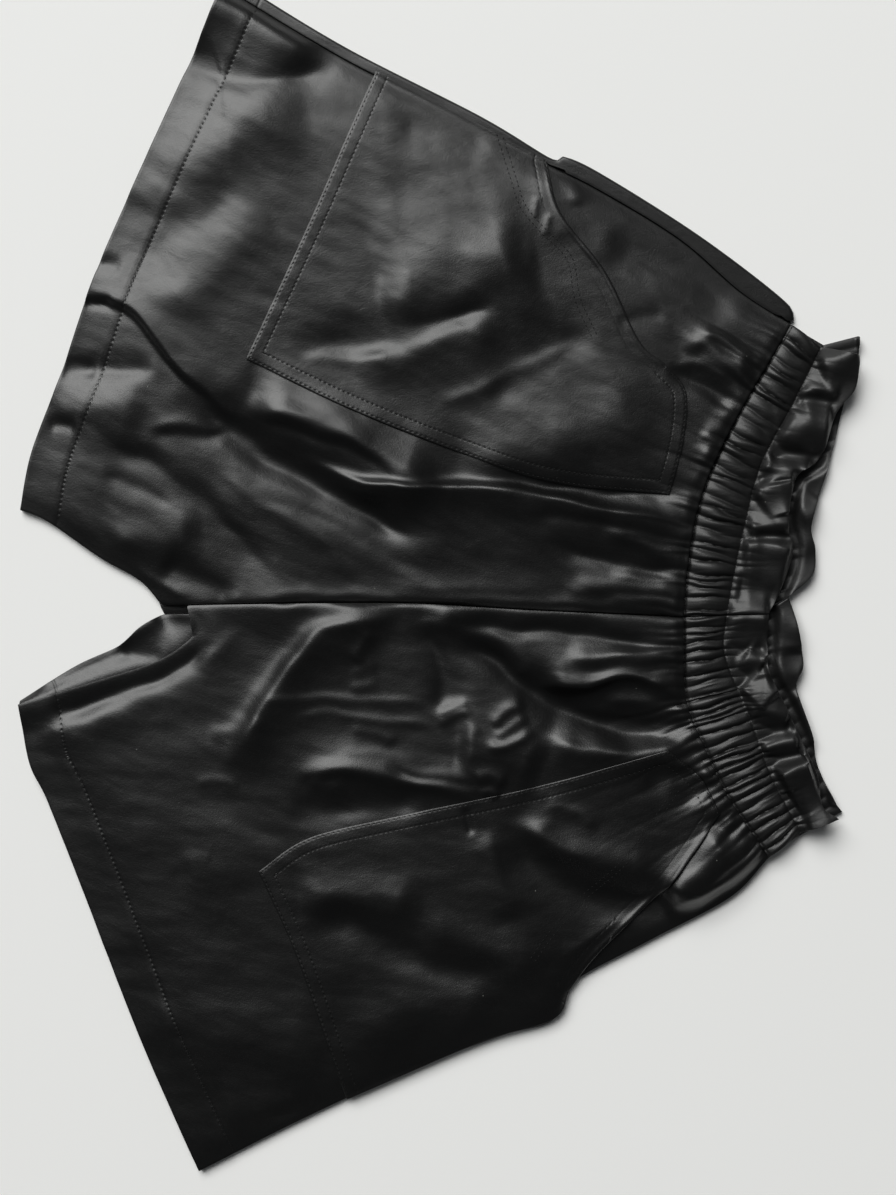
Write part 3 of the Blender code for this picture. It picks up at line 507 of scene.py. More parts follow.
# %% [markdown]
# ## The walls of cloth
#
# A panel has four sides, if its corners are chosen well: the hem, the waist, the side seam,
# and the inseam with the centre seam. A Coons patch blends those four curves into a smooth
# grid. bmesh makes that grid flat, each vertex is moved to its place, and one extrusion
# gives the cloth its thickness. Last, a bevel rounds the cut edges.


# %% A grid between four curves
def coons(start, end, near, far, rows, columns):
    """Places in rows from start to end, whose ends lie on near and far. (rows, columns, 2)"""
    start, end = spaced(start, count=columns), spaced(end, count=columns)
    near, far = spaced(near, count=rows), spaced(far, count=rows)
    up = np.linspace(0, 1, rows)[:, None, None]
    over = np.linspace(0, 1, columns)[None, :, None]
    ruled = (1 - up) * start[None] + up * end[None]
    ruled = ruled + (1 - over) * near[:, None] + over * far[:, None]
    corners = (1 - up) * ((1 - over) * start[0] + over * start[-1])
    return ruled - corners - up * ((1 - over) * end[0] + over * end[-1])


def over_flat(places, heights):
    """Places (rows, columns, 2) with a height for each, as (rows, columns, 3)."""
    return np.concatenate((places, heights.reshape(*places.shape[:2], 1)), axis=2)


# %% A wall of cloth from two surfaces
def cloth_wall(name, outer, inner, material, rim, rim_steps=2):
    """A closed wall between two surfaces of the same grid, (rows, columns, 3) each."""
    rows, columns = outer.shape[:2]
    bm = bmesh.new()
    bmesh.ops.create_grid(bm, x_segments=columns - 1, y_segments=rows - 1, size=0.5)
    station = bm.verts.layers.int.new("station")
    for place, vert in enumerate(bm.verts):
        vert[station] = place
    bm.faces.ensure_lookup_table()
    raised = bmesh.ops.extrude_face_region(bm, geom=bm.faces[:])["geom"]
    high = {item for item in raised if isinstance(item, bmesh.types.BMVert)}
    tops, bottoms = outer.reshape(-1, 3).tolist(), inner.reshape(-1, 3).tolist()
    for vert in bm.verts:
        vert.co = (tops if vert in high else bottoms)[vert[station]]
    bmesh.ops.recalc_face_normals(bm, faces=bm.faces[:])
    rounded_rim(bm, high, rim, rim_steps)
    mesh = bpy.data.meshes.new(name)
    bm.to_mesh(mesh)
    bm.free()
    return add_piece(name, mesh, material)


def rounded_rim(bm, high, rim, steps):
    """Bevels the two edges that run all round a wall."""
    walls = [face for face in bm.faces if 0 < sum(vert in high for vert in face.verts) < 4]
    edges = {edge for face in walls for edge in face.edges if sum(v in high for v in edge.verts) != 1}
    bmesh.ops.bevel(
        bm, geom=list(edges), offset=rim, offset_type="OFFSET", segments=steps, profile=0.5,
        affect="EDGES", material=-1, clamp_overlap=True,
    )


# %% A finished piece in the scene
SHARP_ANGLE = math.radians(60)
triangles = {}


def add_piece(name, mesh, material):
    mesh.shade_smooth()
    mesh.set_sharp_from_angle(angle=SHARP_ANGLE)
    mesh.materials.append(material)
    obj = bpy.data.objects.new(name, mesh)
    bpy.context.scene.collection.objects.link(obj)
    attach(obj, "root")
    triangles[name] = sum(len(face.vertices) - 2 for face in mesh.polygons)
    return obj


def area_of(places):
    """The area of a flat grid of places, in square metres."""
    across, up = np.diff(places, axis=1)[:-1], np.diff(places, axis=0)[:, :-1]
    return float(np.abs(across[..., 0] * up[..., 1] - across[..., 1] * up[..., 0]).sum())


# %% [markdown]
# ## The lines of both waists
#
# Each half of a casing is one strip with three lines along it: the seam, the upper stitches
# and the ruffle's edge. The seam's line is shared with the panels below, so it's made first.

# %% Lines and gathers of each waist
FRONT_GATHERS, BACK_GATHERS = 28, 18
FRONT_COLUMNS, BACK_COLUMNS = 337, 181
FRONT_SEED, BACK_SEED = 10, 20
BETWEEN_SHARE = 1.7  # small gathers between the large ones, for each of them
DRIFT = 0.03


class Waist:
    """Half of a casing: its three lines, from the centre out, and its gathers."""

    def __init__(self, places, count, columns, out, seed, drift):
        self.out = out  # 1 where the right of the lines is the outside, or -1
        self.drift = drift  # how far a gather leans to the centre on its way up, as a share
        self.lines = [spaced(smooth_line(place), count=columns) for place in places]
        self.seam = spaced(self.lines[0], count=count + 1)
        self.gathers = Gathers(count, seed)
        self.between = Gathers(round(count * BETWEEN_SHARE), seed + 1)

    def panel_edge(self):
        """Where the panels below end, on their side of the seam."""
        return beside(self.seam, -self.out * GAP / 2) - (self.out * GAP / 2, 0)


waists = {}
for side, out in (("right", 1), ("left", -1)):
    lean = DRIFT if side == "right" else 0
    front_seed, back_seed = FRONT_SEED + out, BACK_SEED + out
    waists["front", side] = Waist(FRONT_WAIST[side], FRONT_GATHERS, FRONT_COLUMNS, out, front_seed, lean)
    waists["back", side] = Waist(BACK_WAIST[side], BACK_GATHERS, BACK_COLUMNS, out, back_seed, 0)
for name, waist in waists.items():
    print(*name, "waist:", round(length_of(waist.lines[0]) / MM), "mm along its seam")

# %% [markdown]
# ## The height of a front
#
# The height of a front has wavering lines and uneven folds. On top of them comes what only
# shows up close: the small creases, the puckers that the casing's gathers press into the
# panel, slow buckles, and the dimples that a row of stitches pulls into two layers.

# %% One front panel
PUCKER, PUCKER_REACH = 2.2 * MM, 9 * MM  # the casing's own gathers, just below it
DRAW, DRAW_REACH, DRAW_START = 2.4 * MM, 30 * MM, 6 * MM  # fewer and longer ones
DRAW_COUNT = 11
SEAM_ROLL, SEAM_ROLL_REACH = 0.9 * MM, 1.6 * MM  # an edge turns down into its seam
TUCK, TUCK_END = 4.5 * MM, 13 * MM  # the left inseam is rolled inwards over this height
STITCH_PULL, PULL_WIDTH = 0.12 * MM, 1.2 * MM


class Front:
    """One front panel: its four lines, its folds, and how high its cloth lies."""

    def __init__(self, hem, inseam, centre, waist, side, folds, creases, seed, grain, tucked=None):
        self.hem, self.inseam, self.centre, self.side = hem, inseam, centre, side
        self.grain, self.tucked = grain, tucked
        self.casing, self.waist = waist, waist.panel_edge()
        self.folds, self.creases, self.seed = folds, creases, seed
        self.draws = Gathers(DRAW_COUNT, seed + 7)

    def lift(self, points):
        """How far the cloth lies above the lowest place that it could have."""
        from_edge = np.minimum(distance(points, self.inseam), distance(points, self.side))
        from_hem, from_waist = distance(points, self.hem), distance(points, self.waist)
        near_edge, near_waist = np.exp(-from_edge / EDGE_REACH), np.exp(-from_waist / WAIST_REACH)
        swell = EDGE_SWELL * (1 - near_edge) + BODY_SWELL * (1 - np.exp(-from_edge / BODY_REACH))
        swell *= HEM_SWELL + (1 - HEM_SWELL) * eased(from_hem / (2 * HEM_DEPTH))
        bent = wandered(points, WANDER_SIZE, WANDER, self.seed)
        uneven = 1 + UNEVEN * noise(points, UNEVEN_SIZE, self.seed + 2)
        folds = fold_heights(bent, self.folds) * uneven * (1 - EDGE_HOLD * near_edge)
        folds *= 1 - SEAM_HOLD * np.exp(-from_waist / EDGE_REACH)
        height = swell * (1 - WAIST_HOLD * near_waist) + folds
        height = height + self.small_folds(points, bent) * (1 - near_edge)
        rests = SOFT_LANDING * np.logaddexp(0, height / SOFT_LANDING)
        rests = rests * (1 - EDGE_REST * near_edge) + WAIST_LIFT * near_waist
        return rests if self.tucked is None else rests + tuck(points, self.tucked, self.inseam)

    def small_folds(self, points, bent):
        """Creases, buckles and the puckers below the casing."""
        small = fold_heights(bent, self.creases)
        along_folds = turned(points, self.grain, BUCKLE_STRETCH)
        for turn, (height, size) in enumerate(BUCKLES):
            small += height * noise(along_folds, size, self.seed + 3 + turn)
        below, along = nearest(bent, self.casing.seam)
        below = np.abs(below)
        small += PUCKER * self.casing.gathers(along) * np.exp(-below / PUCKER_REACH)
        small += DRAW * self.draws(along) * np.exp(-below / DRAW_REACH) * eased(below / DRAW_START)
        return small

    def topside(self, points):
        under = CLOTH + HEM_PLY + GAP + self.lift(points)
        seam = np.exp(-distance(points, self.centre) / SEAM_ROLL_REACH)
        shows = hem_ply(points, self.hem) * HEM_SHOWS / HEM_PLY
        sewn = STITCH_PULL * np.exp(-(((distance(points, self.hem) - HEM_DEPTH) / PULL_WIDTH) ** 2))
        return under + CLOTH + shows - SEAM_ROLL * seam - sewn


def tuck(points, edge, seam):
    """How the cloth rises from an inseam that is rolled inwards, up to where the front starts."""
    apart = distance(points, edge)
    past = nearest(points, seam)[0]
    share = np.where(past > 0, 1, apart / np.maximum(apart + np.abs(past), TINY))
    return TUCK * eased(share) * np.exp(-((np.maximum(past, 0) / TUCK_END) ** 2))


def hem_ply(points, hem):
    """The turned-up layer's share of the thickness, near the hem."""
    return HEM_PLY * eased((HEM_DEPTH - distance(points, hem)) / HEM_STEP)


# %% The two fronts
GRAIN_RIGHT, GRAIN_LEFT = 60, 78  # which way each leg's folds run, in degrees from +X
SEED_RIGHT, SEED_LEFT = 30, 50
centre_line = smooth_line(CENTRE_FRONT)
side_seam = smooth_line(SIDE_SEAM_RIGHT)
right = Front(
    smooth_line(HEM_RIGHT), smooth_line(INSEAM_RIGHT), beside(centre_line, -GAP / 2),
    waists["front", "right"], beside(side_seam, -GAP / 2), FOLDS_RIGHT, CREASES_RIGHT,
    SEED_RIGHT, GRAIN_RIGHT,
)
left_centre = centre_line[centre_line[:, 1] > at(CROTCH_LEFT_PX, 0)[1]]
left = Front(
    smooth_line(HEM_LEFT), smooth_line(INSEAM_LEFT), beside(left_centre, GAP / 2),
    waists["front", "left"], smooth_line(SIDE_LEFT), FOLDS_LEFT, CREASES_LEFT,
    SEED_LEFT, GRAIN_LEFT, smooth_line(BACK_INSEAM_LEFT),
)
GRID = 1.75 * MM


def front_grid(front, inner_first):
    """The places of a front, in rows from hem to waist."""
    inner = np.vstack((front.inseam[:-1], front.centre))
    hem, waist, side = front.hem, front.waist, front.side[::-1]
    if inner_first:
        hem = hem[::-1]
        near, far = inner, side
    else:
        waist = waist[::-1]
        near, far = side, inner
    rows = round(max(length_of(near), length_of(far)) / GRID)
    columns = round(max(length_of(hem), length_of(waist)) / GRID)
    return coons(hem, waist, near, far, rows, columns)


# %% [markdown]
# ## Shader node groups
#
# All the leather is the same, but panels, pockets and casings wear their stitches in
# different places. So each effect is a node group, built once and placed in each material
# with its own values: the fine grain, the creasing of a coated surface, the mottled sheen,
# the groove that a row of stitches pulls, and a little dust. Heights are in millimetres.


# %% Helpers for node groups
def new_group(name, inputs, outputs):
    """A shader node group with float inputs {name: value} and outputs {name: kind}."""
    tree = bpy.data.node_groups.new(name, "ShaderNodeTree")
    for label, value in inputs.items():
        socket = tree.interface.new_socket(label, in_out="INPUT", socket_type="NodeSocketFloat")
        socket.default_value = value
    for label, kind in outputs.items():
        tree.interface.new_socket(label, in_out="OUTPUT", socket_type=f"NodeSocket{kind}")
    return tree, tree.nodes.new("NodeGroupInput"), tree.nodes.new("NodeGroupOutput")


def math_node(tree, operation, *values, clamp=False):
    """A Math node whose inputs are sockets or numbers. It returns its output."""
    node = tree.nodes.new("ShaderNodeMath")
    node.operation = operation
    node.use_clamp = clamp
    for socket, value in zip(node.inputs, values):
        plug(tree, value, socket)
    return node.outputs[0]


def plug(tree, value, socket):
    if isinstance(value, bpy.types.NodeSocket):
        tree.links.new(value, socket)
    else:
        socket.default_value = value


def noise_node(tree, vector, scale, detail=2.0, roughness=0.5, distortion=0.0):
    node = tree.nodes.new("ShaderNodeTexNoise")
    plug(tree, vector, node.inputs["Vector"])
    plug(tree, scale, node.inputs["Scale"])
    node.inputs["Detail"].default_value = detail
    node.inputs["Roughness"].default_value = roughness
    node.inputs["Distortion"].default_value = distortion
    return node.outputs["Fac"]


def position_in(tree):
    return tree.nodes.new("ShaderNodeTexCoord").outputs["Object"]


def remap(tree, value, low, high, new_low, new_high):
    """A soft step from new_low to new_high, while the value goes from low to high."""
    node = tree.nodes.new("ShaderNodeMapRange")
    node.interpolation_type = "SMOOTHSTEP"
    labels = ("Value", "From Min", "From Max", "To Min", "To Max")
    for label, number in zip(labels, (value, low, high, new_low, new_high)):
        plug(tree, number, node.inputs[label])
    return node.outputs["Result"]


# %% Grain: the fine pebbling of coated leather
FINER, FINER_SHARE = 2.3, 0.6  # finer bumps on the pebbles


def grain_group():
    inputs = {"Size": 0.8 * MM, "Depth": 0.02}
    tree, given, made = new_group("leather_grain", inputs, {"Height": "Float"})
    scale = math_node(tree, "DIVIDE", 1.0, given.outputs["Size"])
    cells = tree.nodes.new("ShaderNodeTexVoronoi")
    cells.feature = "SMOOTH_F1"
    plug(tree, position_in(tree), cells.inputs["Vector"])
    plug(tree, scale, cells.inputs["Scale"])
    pebble = math_node(tree, "SUBTRACT", 1.0, cells.outputs["Distance"])
    finer = math_node(tree, "MULTIPLY", scale, FINER)
    fine = noise_node(tree, position_in(tree), finer, detail=3.0)
    both = math_node(tree, "ADD", pebble, math_node(tree, "MULTIPLY", fine, FINER_SHARE))
    tree.links.new(math_node(tree, "MULTIPLY", both, given.outputs["Depth"]), made.inputs["Height"])
    return tree


# %% Creasing: soft dents and hairline creases, drawn out along the folds
CREASE_STRETCH = (0.55, 1, 1)
LINES_FINER = 1.3  # the hairlines are this much closer than the dents
LINE_WIDTH = 0.03  # as a share of the noise's range


def creasing_group():
    inputs = {"Turn": 0.0, "Dent Size": 9 * MM, "Dent Depth": 0.1, "Line Depth": 0.05}
    tree, given, made = new_group("leather_creasing", inputs, {"Height": "Float"})
    turn = tree.nodes.new("ShaderNodeVectorRotate")
    turn.rotation_type = "Z_AXIS"
    plug(tree, position_in(tree), turn.inputs["Vector"])
    plug(tree, given.outputs["Turn"], turn.inputs["Angle"])
    drawn = tree.nodes.new("ShaderNodeVectorMath")
    drawn.operation = "MULTIPLY"
    drawn.inputs[1].default_value = CREASE_STRETCH
    plug(tree, turn.outputs["Vector"], drawn.inputs[0])
    scale = math_node(tree, "DIVIDE", 1.0, given.outputs["Dent Size"])
    drawn = drawn.outputs["Vector"]
    dents = noise_node(tree, drawn, scale, detail=4.0, roughness=0.55, distortion=0.4)
    finer = math_node(tree, "MULTIPLY", scale, LINES_FINER)
    lines = noise_node(tree, drawn, finer, distortion=1.2)
    ridge = math_node(tree, "ABSOLUTE", math_node(tree, "SUBTRACT", lines, 0.5))
    ridge = remap(tree, ridge, 0.0, LINE_WIDTH, 1.0, 0.0)
    dents = math_node(tree, "MULTIPLY", dents, given.outputs["Dent Depth"])
    ridge = math_node(tree, "MULTIPLY", ridge, given.outputs["Line Depth"])
    tree.links.new(math_node(tree, "SUBTRACT", dents, ridge), made.inputs["Height"])
    return tree


# %% Groove: what the rows of stitches pull into the surface, deepest at each stitch
DOTTED = 0.4  # how much of the groove's depth comes and goes with the stitches


def groove_group():
    inputs = {"First Row": 2.0, "Second Row": 7.5, "Width": 0.5, "Depth": 0.25}
    inputs["Step"] = STITCH_STEP / MM
    tree, given, made = new_group("stitch_groove", inputs, {"Height": "Float"})
    run, place = (tree.nodes.new("ShaderNodeAttribute") for _ in range(2))
    run.attribute_name = "from_edge"
    place.attribute_name = "along_edge"
    rows = []
    for label in ("First Row", "Second Row"):
        apart = math_node(tree, "SUBTRACT", run.outputs["Fac"], given.outputs[label])
        share = math_node(tree, "DIVIDE", apart, given.outputs["Width"])
        square = math_node(tree, "MULTIPLY", share, share)
        rows.append(math_node(tree, "EXPONENT", math_node(tree, "MULTIPLY", square, -1.0)))
    mask = math_node(tree, "ADD", *rows, clamp=True)
    turns = math_node(tree, "DIVIDE", place.outputs["Fac"], given.outputs["Step"])
    swing = math_node(tree, "COSINE", math_node(tree, "MULTIPLY", turns, math.tau))
    dotted = math_node(tree, "ADD", math_node(tree, "MULTIPLY", swing, DOTTED), 1 - DOTTED)
    down = math_node(tree, "MULTIPLY", given.outputs["Depth"], -1.0)
    pull = math_node(tree, "MULTIPLY", mask, down)
    tree.links.new(math_node(tree, "MULTIPLY", pull, dotted), made.inputs["Height"])
    return tree


# %% Sheen: a slowly changing gloss, and dust: a few pale specks
SLOW, QUICK = 18.0, 420.0  # how fine each noise is, in cells for each metre
SLOW_SHARE, QUICK_SHARE = 0.7, 0.3
SPREADS = 4.0  # such noise keeps near its middle, so it is drawn out by this much


def sheen_group():
    inputs = {"Middle": 0.34, "Spread": 0.06}
    tree, given, made = new_group("mottled_sheen", inputs, {"Roughness": "Float", "Tone": "Float"})
    slow = noise_node(tree, position_in(tree), SLOW, detail=5.0, roughness=0.62)
    fine = noise_node(tree, position_in(tree), QUICK, roughness=0.6)
    slow = math_node(tree, "MULTIPLY", slow, SLOW_SHARE)
    both = math_node(tree, "ADD", slow, math_node(tree, "MULTIPLY", fine, QUICK_SHARE))
    spread = math_node(tree, "MULTIPLY", given.outputs["Spread"], SPREADS)
    shift = math_node(tree, "MULTIPLY", math_node(tree, "SUBTRACT", both, 0.5), spread)
    rough = math_node(tree, "ADD", given.outputs["Middle"], shift)
    tree.links.new(rough, made.inputs["Roughness"])
    tree.links.new(both, made.inputs["Tone"])
    return tree


def dust_group():
    inputs = {"Spacing": 24 * MM, "Radius": 0.35 * MM}
    tree, given, made = new_group("dust_specks", inputs, {"Mask": "Float"})
    cells = tree.nodes.new("ShaderNodeTexVoronoi")
    plug(tree, position_in(tree), cells.inputs["Vector"])
    plug(tree, math_node(tree, "DIVIDE", 1.0, given.outputs["Spacing"]), cells.inputs["Scale"])
    radius = math_node(tree, "DIVIDE", given.outputs["Radius"], given.outputs["Spacing"])
    speck = math_node(tree, "LESS_THAN", cells.outputs["Distance"], radius)
    tree.links.new(speck, made.inputs["Mask"])
    return tree


GROUPS = {
    "grain": grain_group(), "creasing": creasing_group(), "groove": groove_group(),
    "sheen": sheen_group(), "dust": dust_group(),
}


# %% The leather itself
GRAIN_DEPTH = 0.05
DUST = (0.12, 0.12, 0.11)
LEATHER_IOR, SPECULAR = 1.5, 0.44
COAT, COAT_ROUGHNESS = 0.2, 0.25
BLACK, GREY = (0.0012, 0.0012, 0.0014), (0.0036, 0.0036, 0.0034)  # its two tones
NO_ROW = -50.0  # off the piece
HEM_ROWS = {"First_Row": HEM_DEPTH / MM, "Second_Row": NO_ROW, "Width": 0.8, "Depth": 0.24}
POCKET_ROWS = {
    "First_Row": EDGE_ROW / MM, "Second_Row": INNER_ROW / MM, "Width": 0.6, "Depth": 0.16,
}
CASING_ROWS = {"First_Row": 0.04, "Second_Row": 1.0, "Width": 0.03, "Depth": 0.3}  # as shares of the strip
SATIN = {"Middle": 0.4, "Spread": 0.06}
MATTE = {"Middle": 0.52, "Spread": 0.05}  # many small creases scatter the light
ALONG_LEGS = {"Turn": math.radians(-68), "Dent_Depth": 0.26, "Line_Depth": 0.012}
ALONG_POCKETS = {"Turn": math.radians(-100), "Dent_Depth": 0.24, "Line_Depth": 0.012}
ALONG_GATHERS = {"Turn": math.radians(-72), "Dent_Depth": 0.3, "Line_Depth": 0.01}


def placed(tree, name, **values):
    """A group node with its own values."""
    node = tree.nodes.new("ShaderNodeGroup")
    node.node_tree = GROUPS[name]
    for label, value in values.items():
        node.inputs[label.replace("_", " ")].default_value = value
    return node.outputs


def leather(name, sheen, groove, creasing):
    """Black coated leather with its own gloss, rows of stitches and creasing."""
    material = bpy.data.materials.new(name)
    material.use_nodes = True
    tree = material.node_tree
    shader = tree.nodes["Principled BSDF"]
    grain = placed(tree, "grain", Depth=GRAIN_DEPTH)
    dents = placed(tree, "creasing", **creasing)
    pulled = placed(tree, "groove", **groove)
    gloss = placed(tree, "sheen", **sheen)
    dust = placed(tree, "dust")
    height = math_node(tree, "ADD", dents["Height"], pulled["Height"])
    height = math_node(tree, "ADD", grain["Height"], height)
    bump = tree.nodes.new("ShaderNodeBump")
    bump.inputs["Distance"].default_value = MM
    bump.inputs["Strength"].default_value = 1.0
    tree.links.new(height, bump.inputs["Height"])
    tree.links.new(bump.outputs["Normal"], shader.inputs["Normal"])
    tones = tree.nodes.new("ShaderNodeMix")
    tones.data_type = "RGBA"
    tones.inputs["A"].default_value = (*BLACK, 1)
    tones.inputs["B"].default_value = (*GREY, 1)
    tree.links.new(gloss["Tone"], tones.inputs["Factor"])
    specks = tree.nodes.new("ShaderNodeMix")
    specks.data_type = "RGBA"
    specks.inputs["B"].default_value = (*DUST, 1)
    tree.links.new(tones.outputs["Result"], specks.inputs["A"])
    tree.links.new(dust["Mask"], specks.inputs["Factor"])
    tree.links.new(specks.outputs["Result"], shader.inputs["Base Color"])
    tree.links.new(gloss["Roughness"], shader.inputs["Roughness"])
    shader.inputs["IOR"].default_value = LEATHER_IOR
    shader.inputs["Specular IOR Level"].default_value = SPECULAR
    shader.inputs["Coat Weight"].default_value = COAT
    shader.inputs["Coat Roughness"].default_value = COAT_ROUGHNESS
    return material


panel_leather = leather("panel_leather", SATIN, HEM_ROWS, ALONG_LEGS)
pocket_leather = leather("pocket_leather", SATIN, POCKET_ROWS, ALONG_POCKETS)
casing_leather = leather("casing_leather", MATTE, CASING_ROWS, ALONG_GATHERS)
print("materials:", [material.name for material in bpy.data.materials if material.users])


# %% Thread
THREAD_DARK, THREAD_LIGHT = (0.002, 0.002, 0.002), (0.008, 0.008, 0.008)
THREAD_ROUGHNESS, THREAD_SPECULAR = 0.7, 0.25
TWISTS, TWIST_DISTORTION = 900.0, 1.5


def thread_material():
    material = bpy.data.materials.new("black_thread")
    material.use_nodes = True
    tree = material.node_tree
    shader = tree.nodes["Principled BSDF"]
    twist = tree.nodes.new("ShaderNodeTexWave")
    twist.inputs["Scale"].default_value = TWISTS
    twist.inputs["Distortion"].default_value = TWIST_DISTORTION
    plug(tree, position_in(tree), twist.inputs["Vector"])
    tones = tree.nodes.new("ShaderNodeMix")
    tones.data_type = "RGBA"
    tones.inputs["A"].default_value = (*THREAD_DARK, 1)
    tones.inputs["B"].default_value = (*THREAD_LIGHT, 1)
    tree.links.new(twist.outputs["Fac"], tones.inputs["Factor"])
    tree.links.new(tones.outputs["Result"], shader.inputs["Base Color"])
    shader.inputs["Roughness"].default_value = THREAD_ROUGHNESS
    shader.inputs["Specular IOR Level"].default_value = THREAD_SPECULAR
    return material


thread = thread_material()

# %% [markdown]
# ## The fronts
#
# Each front is one wall. Its top surface is the height worked out above. The wall keeps its
# thickness where it is steep, so the lower surface is measured straight down by the cloth
# divided by the upright part of the surface's normal. Each point also stores how far it is
# from the hem, which tells the material where the row of stitches pulls its groove.

# %% Front panels
MOST_SLANT = 1.7
LEAST_UPRIGHT = 0.1
FRONT_RIM = 0.6 * MM


def slant_of(surface):
    """How much thicker a wall has to be, measured upright, where its surface is steep."""
    across, up = np.gradient(surface, axis=1), np.gradient(surface, axis=0)
    normal = np.cross(across, up)
    upright = np.abs(normal[..., 2]) / np.maximum(np.linalg.norm(normal, axis=2), TINY)
    return np.minimum(1 / np.maximum(upright, LEAST_UPRIGHT), MOST_SLANT)


def lowered(surface, depth):
    under = surface.copy()
    under[..., 2] -= depth
    return under


def store(obj, name, values_of):
    """A number for each vertex, worked out from the vertices' places, as an attribute."""
    count = len(obj.data.vertices)
    places = np.empty(count * 3)
    obj.data.vertices.foreach_get("co", places)
    attribute = obj.data.attributes.new(name, "FLOAT", "POINT")
    attribute.data.foreach_set("value", values_of(places.reshape(-1, 3)).astype(np.float32))


def run_along(points, edge):
    """How far along a line the place nearest to each point is."""
    return nearest(points, edge)[1] * length_of(edge)


def make_front(side, front, inner_first):
    places = front_grid(front, inner_first)
    flat = places.reshape(-1, 2)
    outer = over_flat(places, front.topside(flat))
    thickness = (CLOTH + hem_ply(flat, front.hem) * HEM_SHOWS / HEM_PLY).reshape(outer.shape[:2])
    inner = lowered(outer, thickness * slant_of(outer))
    obj = cloth_wall(f"panel_front_{side}", outer, inner, panel_leather, FRONT_RIM)
    store(obj, "from_edge", lambda points: distance(points[:, :2], front.hem) / MM)
    store(obj, "along_edge", lambda points: run_along(points[:, :2], front.hem) / MM)
    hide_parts(f"front_{side}")
    return obj, places


fronts = {
    "right": make_front("right", right, False),
    "left": make_front("left", left, True),
}
for side, (obj, places) in fronts.items():
    print("front", side, round(area_of(places), 4), "m2,", triangles[obj.name], "triangles")

# %% [markdown]
# ## The patch pockets
#
# A patch pocket is cut with its edges turned in and sewn down with two rows of stitches. It
# lies on the front, so it is made from the front's own height, moved out. Its edges turn
# down, and its hand opening isn't sewn, so it stands up a little between its two ends.

# %% Pockets
POCKET_GRID = 1.4 * MM
POCKET_THICKNESS = 0.7 * MM  # so that it stays clear of the front where its edges turn down
POCKET_RIM = 0.4 * MM
TURN_DOWN, TURN_REACH = 0.3 * MM, 0.7 * MM
PULL = 0.05 * MM
OPENING_LIFT, OPENING_REACH = 1.0 * MM, 7 * MM
OPENING_SHAPE = 0.7  # below 1 it rises quickly from its two ends
OPENING_ROLL, ROLL_REACH = 0.7 * MM, 1.5 * MM  # the folded edge of the opening


class Pocket:
    """A patch pocket on a front: its five edges, and how high its cloth lies."""

    def __init__(self, front, edges):
        self.front = front
        self.hem_side, self.inner, self.waist_end, self.opening, self.side = map(smooth_line, edges)
        self.sewn = np.vstack((self.hem_side[:-1], self.inner[:-1], self.waist_end))

    def grid(self):
        near = np.vstack((self.side[::-1][:-1], self.opening[::-1]))
        rows = round(length_of(self.inner) / POCKET_GRID)
        columns = round(length_of(self.hem_side) / POCKET_GRID)
        return coons(self.hem_side, self.waist_end[::-1], near, self.inner, rows, columns)

    def topside(self, points):
        from_sewn = distance(points, self.sewn)
        from_opening, along = nearest(points, self.opening)
        from_opening = np.abs(from_opening)
        top = self.front.topside(points) + GAP + POCKET_CLOTH
        opens = np.sin(math.pi * along) ** OPENING_SHAPE
        top += OPENING_LIFT * np.exp(-from_opening / OPENING_REACH) * opens
        top += OPENING_ROLL * np.exp(-((from_opening / ROLL_REACH - 1) ** 2)) * opens
        edge = np.minimum(from_sewn, from_opening)
        top -= TURN_DOWN * np.exp(-edge / TURN_REACH)
        top -= PULL * np.exp(-(((edge - INNER_ROW) / PULL_WIDTH) ** 2))
        return top

    def from_edge(self, points):
        return np.minimum(distance(points, self.sewn), distance(points, self.opening)) / MM


def make_pocket(side, pocket):
    places = pocket.grid()
    outer = over_flat(places, pocket.topside(places.reshape(-1, 2)))
    inner = lowered(outer, POCKET_THICKNESS * slant_of(outer))
    obj = cloth_wall(f"patch_pocket_{side}", outer, inner, pocket_leather, POCKET_RIM)
    store(obj, "from_edge", lambda points: pocket.from_edge(points[:, :2]))
    store(obj, "along_edge", lambda points: run_along(points[:, :2], pocket.sewn) / MM)
    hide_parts(f"pocket_{side}")
    return obj, places


pockets = {"right": Pocket(right, POCKET_RIGHT), "left": Pocket(left, POCKET_LEFT)}
pocket_pieces = {side: make_pocket(side, pocket) for side, pocket in pockets.items()}
for side, (obj, places) in pocket_pieces.items():
    print("pocket", side, round(area_of(places), 4), "m2,", triangles[obj.name], "triangles")

# %% [markdown]
# ## The backs
#
# The backs lie flat under the fronts. The right one is wider than its front: its side edge
# turns over and lies on top as a narrow strip, up to the side seam. So its grid has extra
# columns that first go round the turn and then along the strip. The outer face of the
# leather is below on the flat part and on top after the turn.

# %% Back panels
BACK_GRID, FINE_BACK_GRID = 4 * MM, 2.5 * MM
BACK_RIM = 0.4 * MM
CROTCH_FOLDS = {
    "crotch_lip": (((112, 643), (140, 628), (160, 614)), 4.2, 3, 8, 1.2),
    "crotch_crease": (((112, 652), (140, 656), (166, 657)), -1.6, 5, 2.5, 0.8),
    "inseam_lip": (((24, 690), (75, 664), (118, 641)), 1.2, 3, 4, 1.2),
}
TURN_STEPS, STRIP_STEPS = 8, 4
CROWN, CROWN_SIZE, CROWN_SEED = 0.5 * MM, 30 * MM, 3  # the turned edge swells unevenly


def turn_stations():
    """(angle from level, share of the strip) for each column round the turn and along it."""
    turn = [(angle, 0) for angle in np.linspace(-math.pi / 2, math.pi / 2, TURN_STEPS + 1)[1:]]
    return turn + [(math.pi / 2, k / STRIP_STEPS) for k in range(1, STRIP_STEPS + 1)]


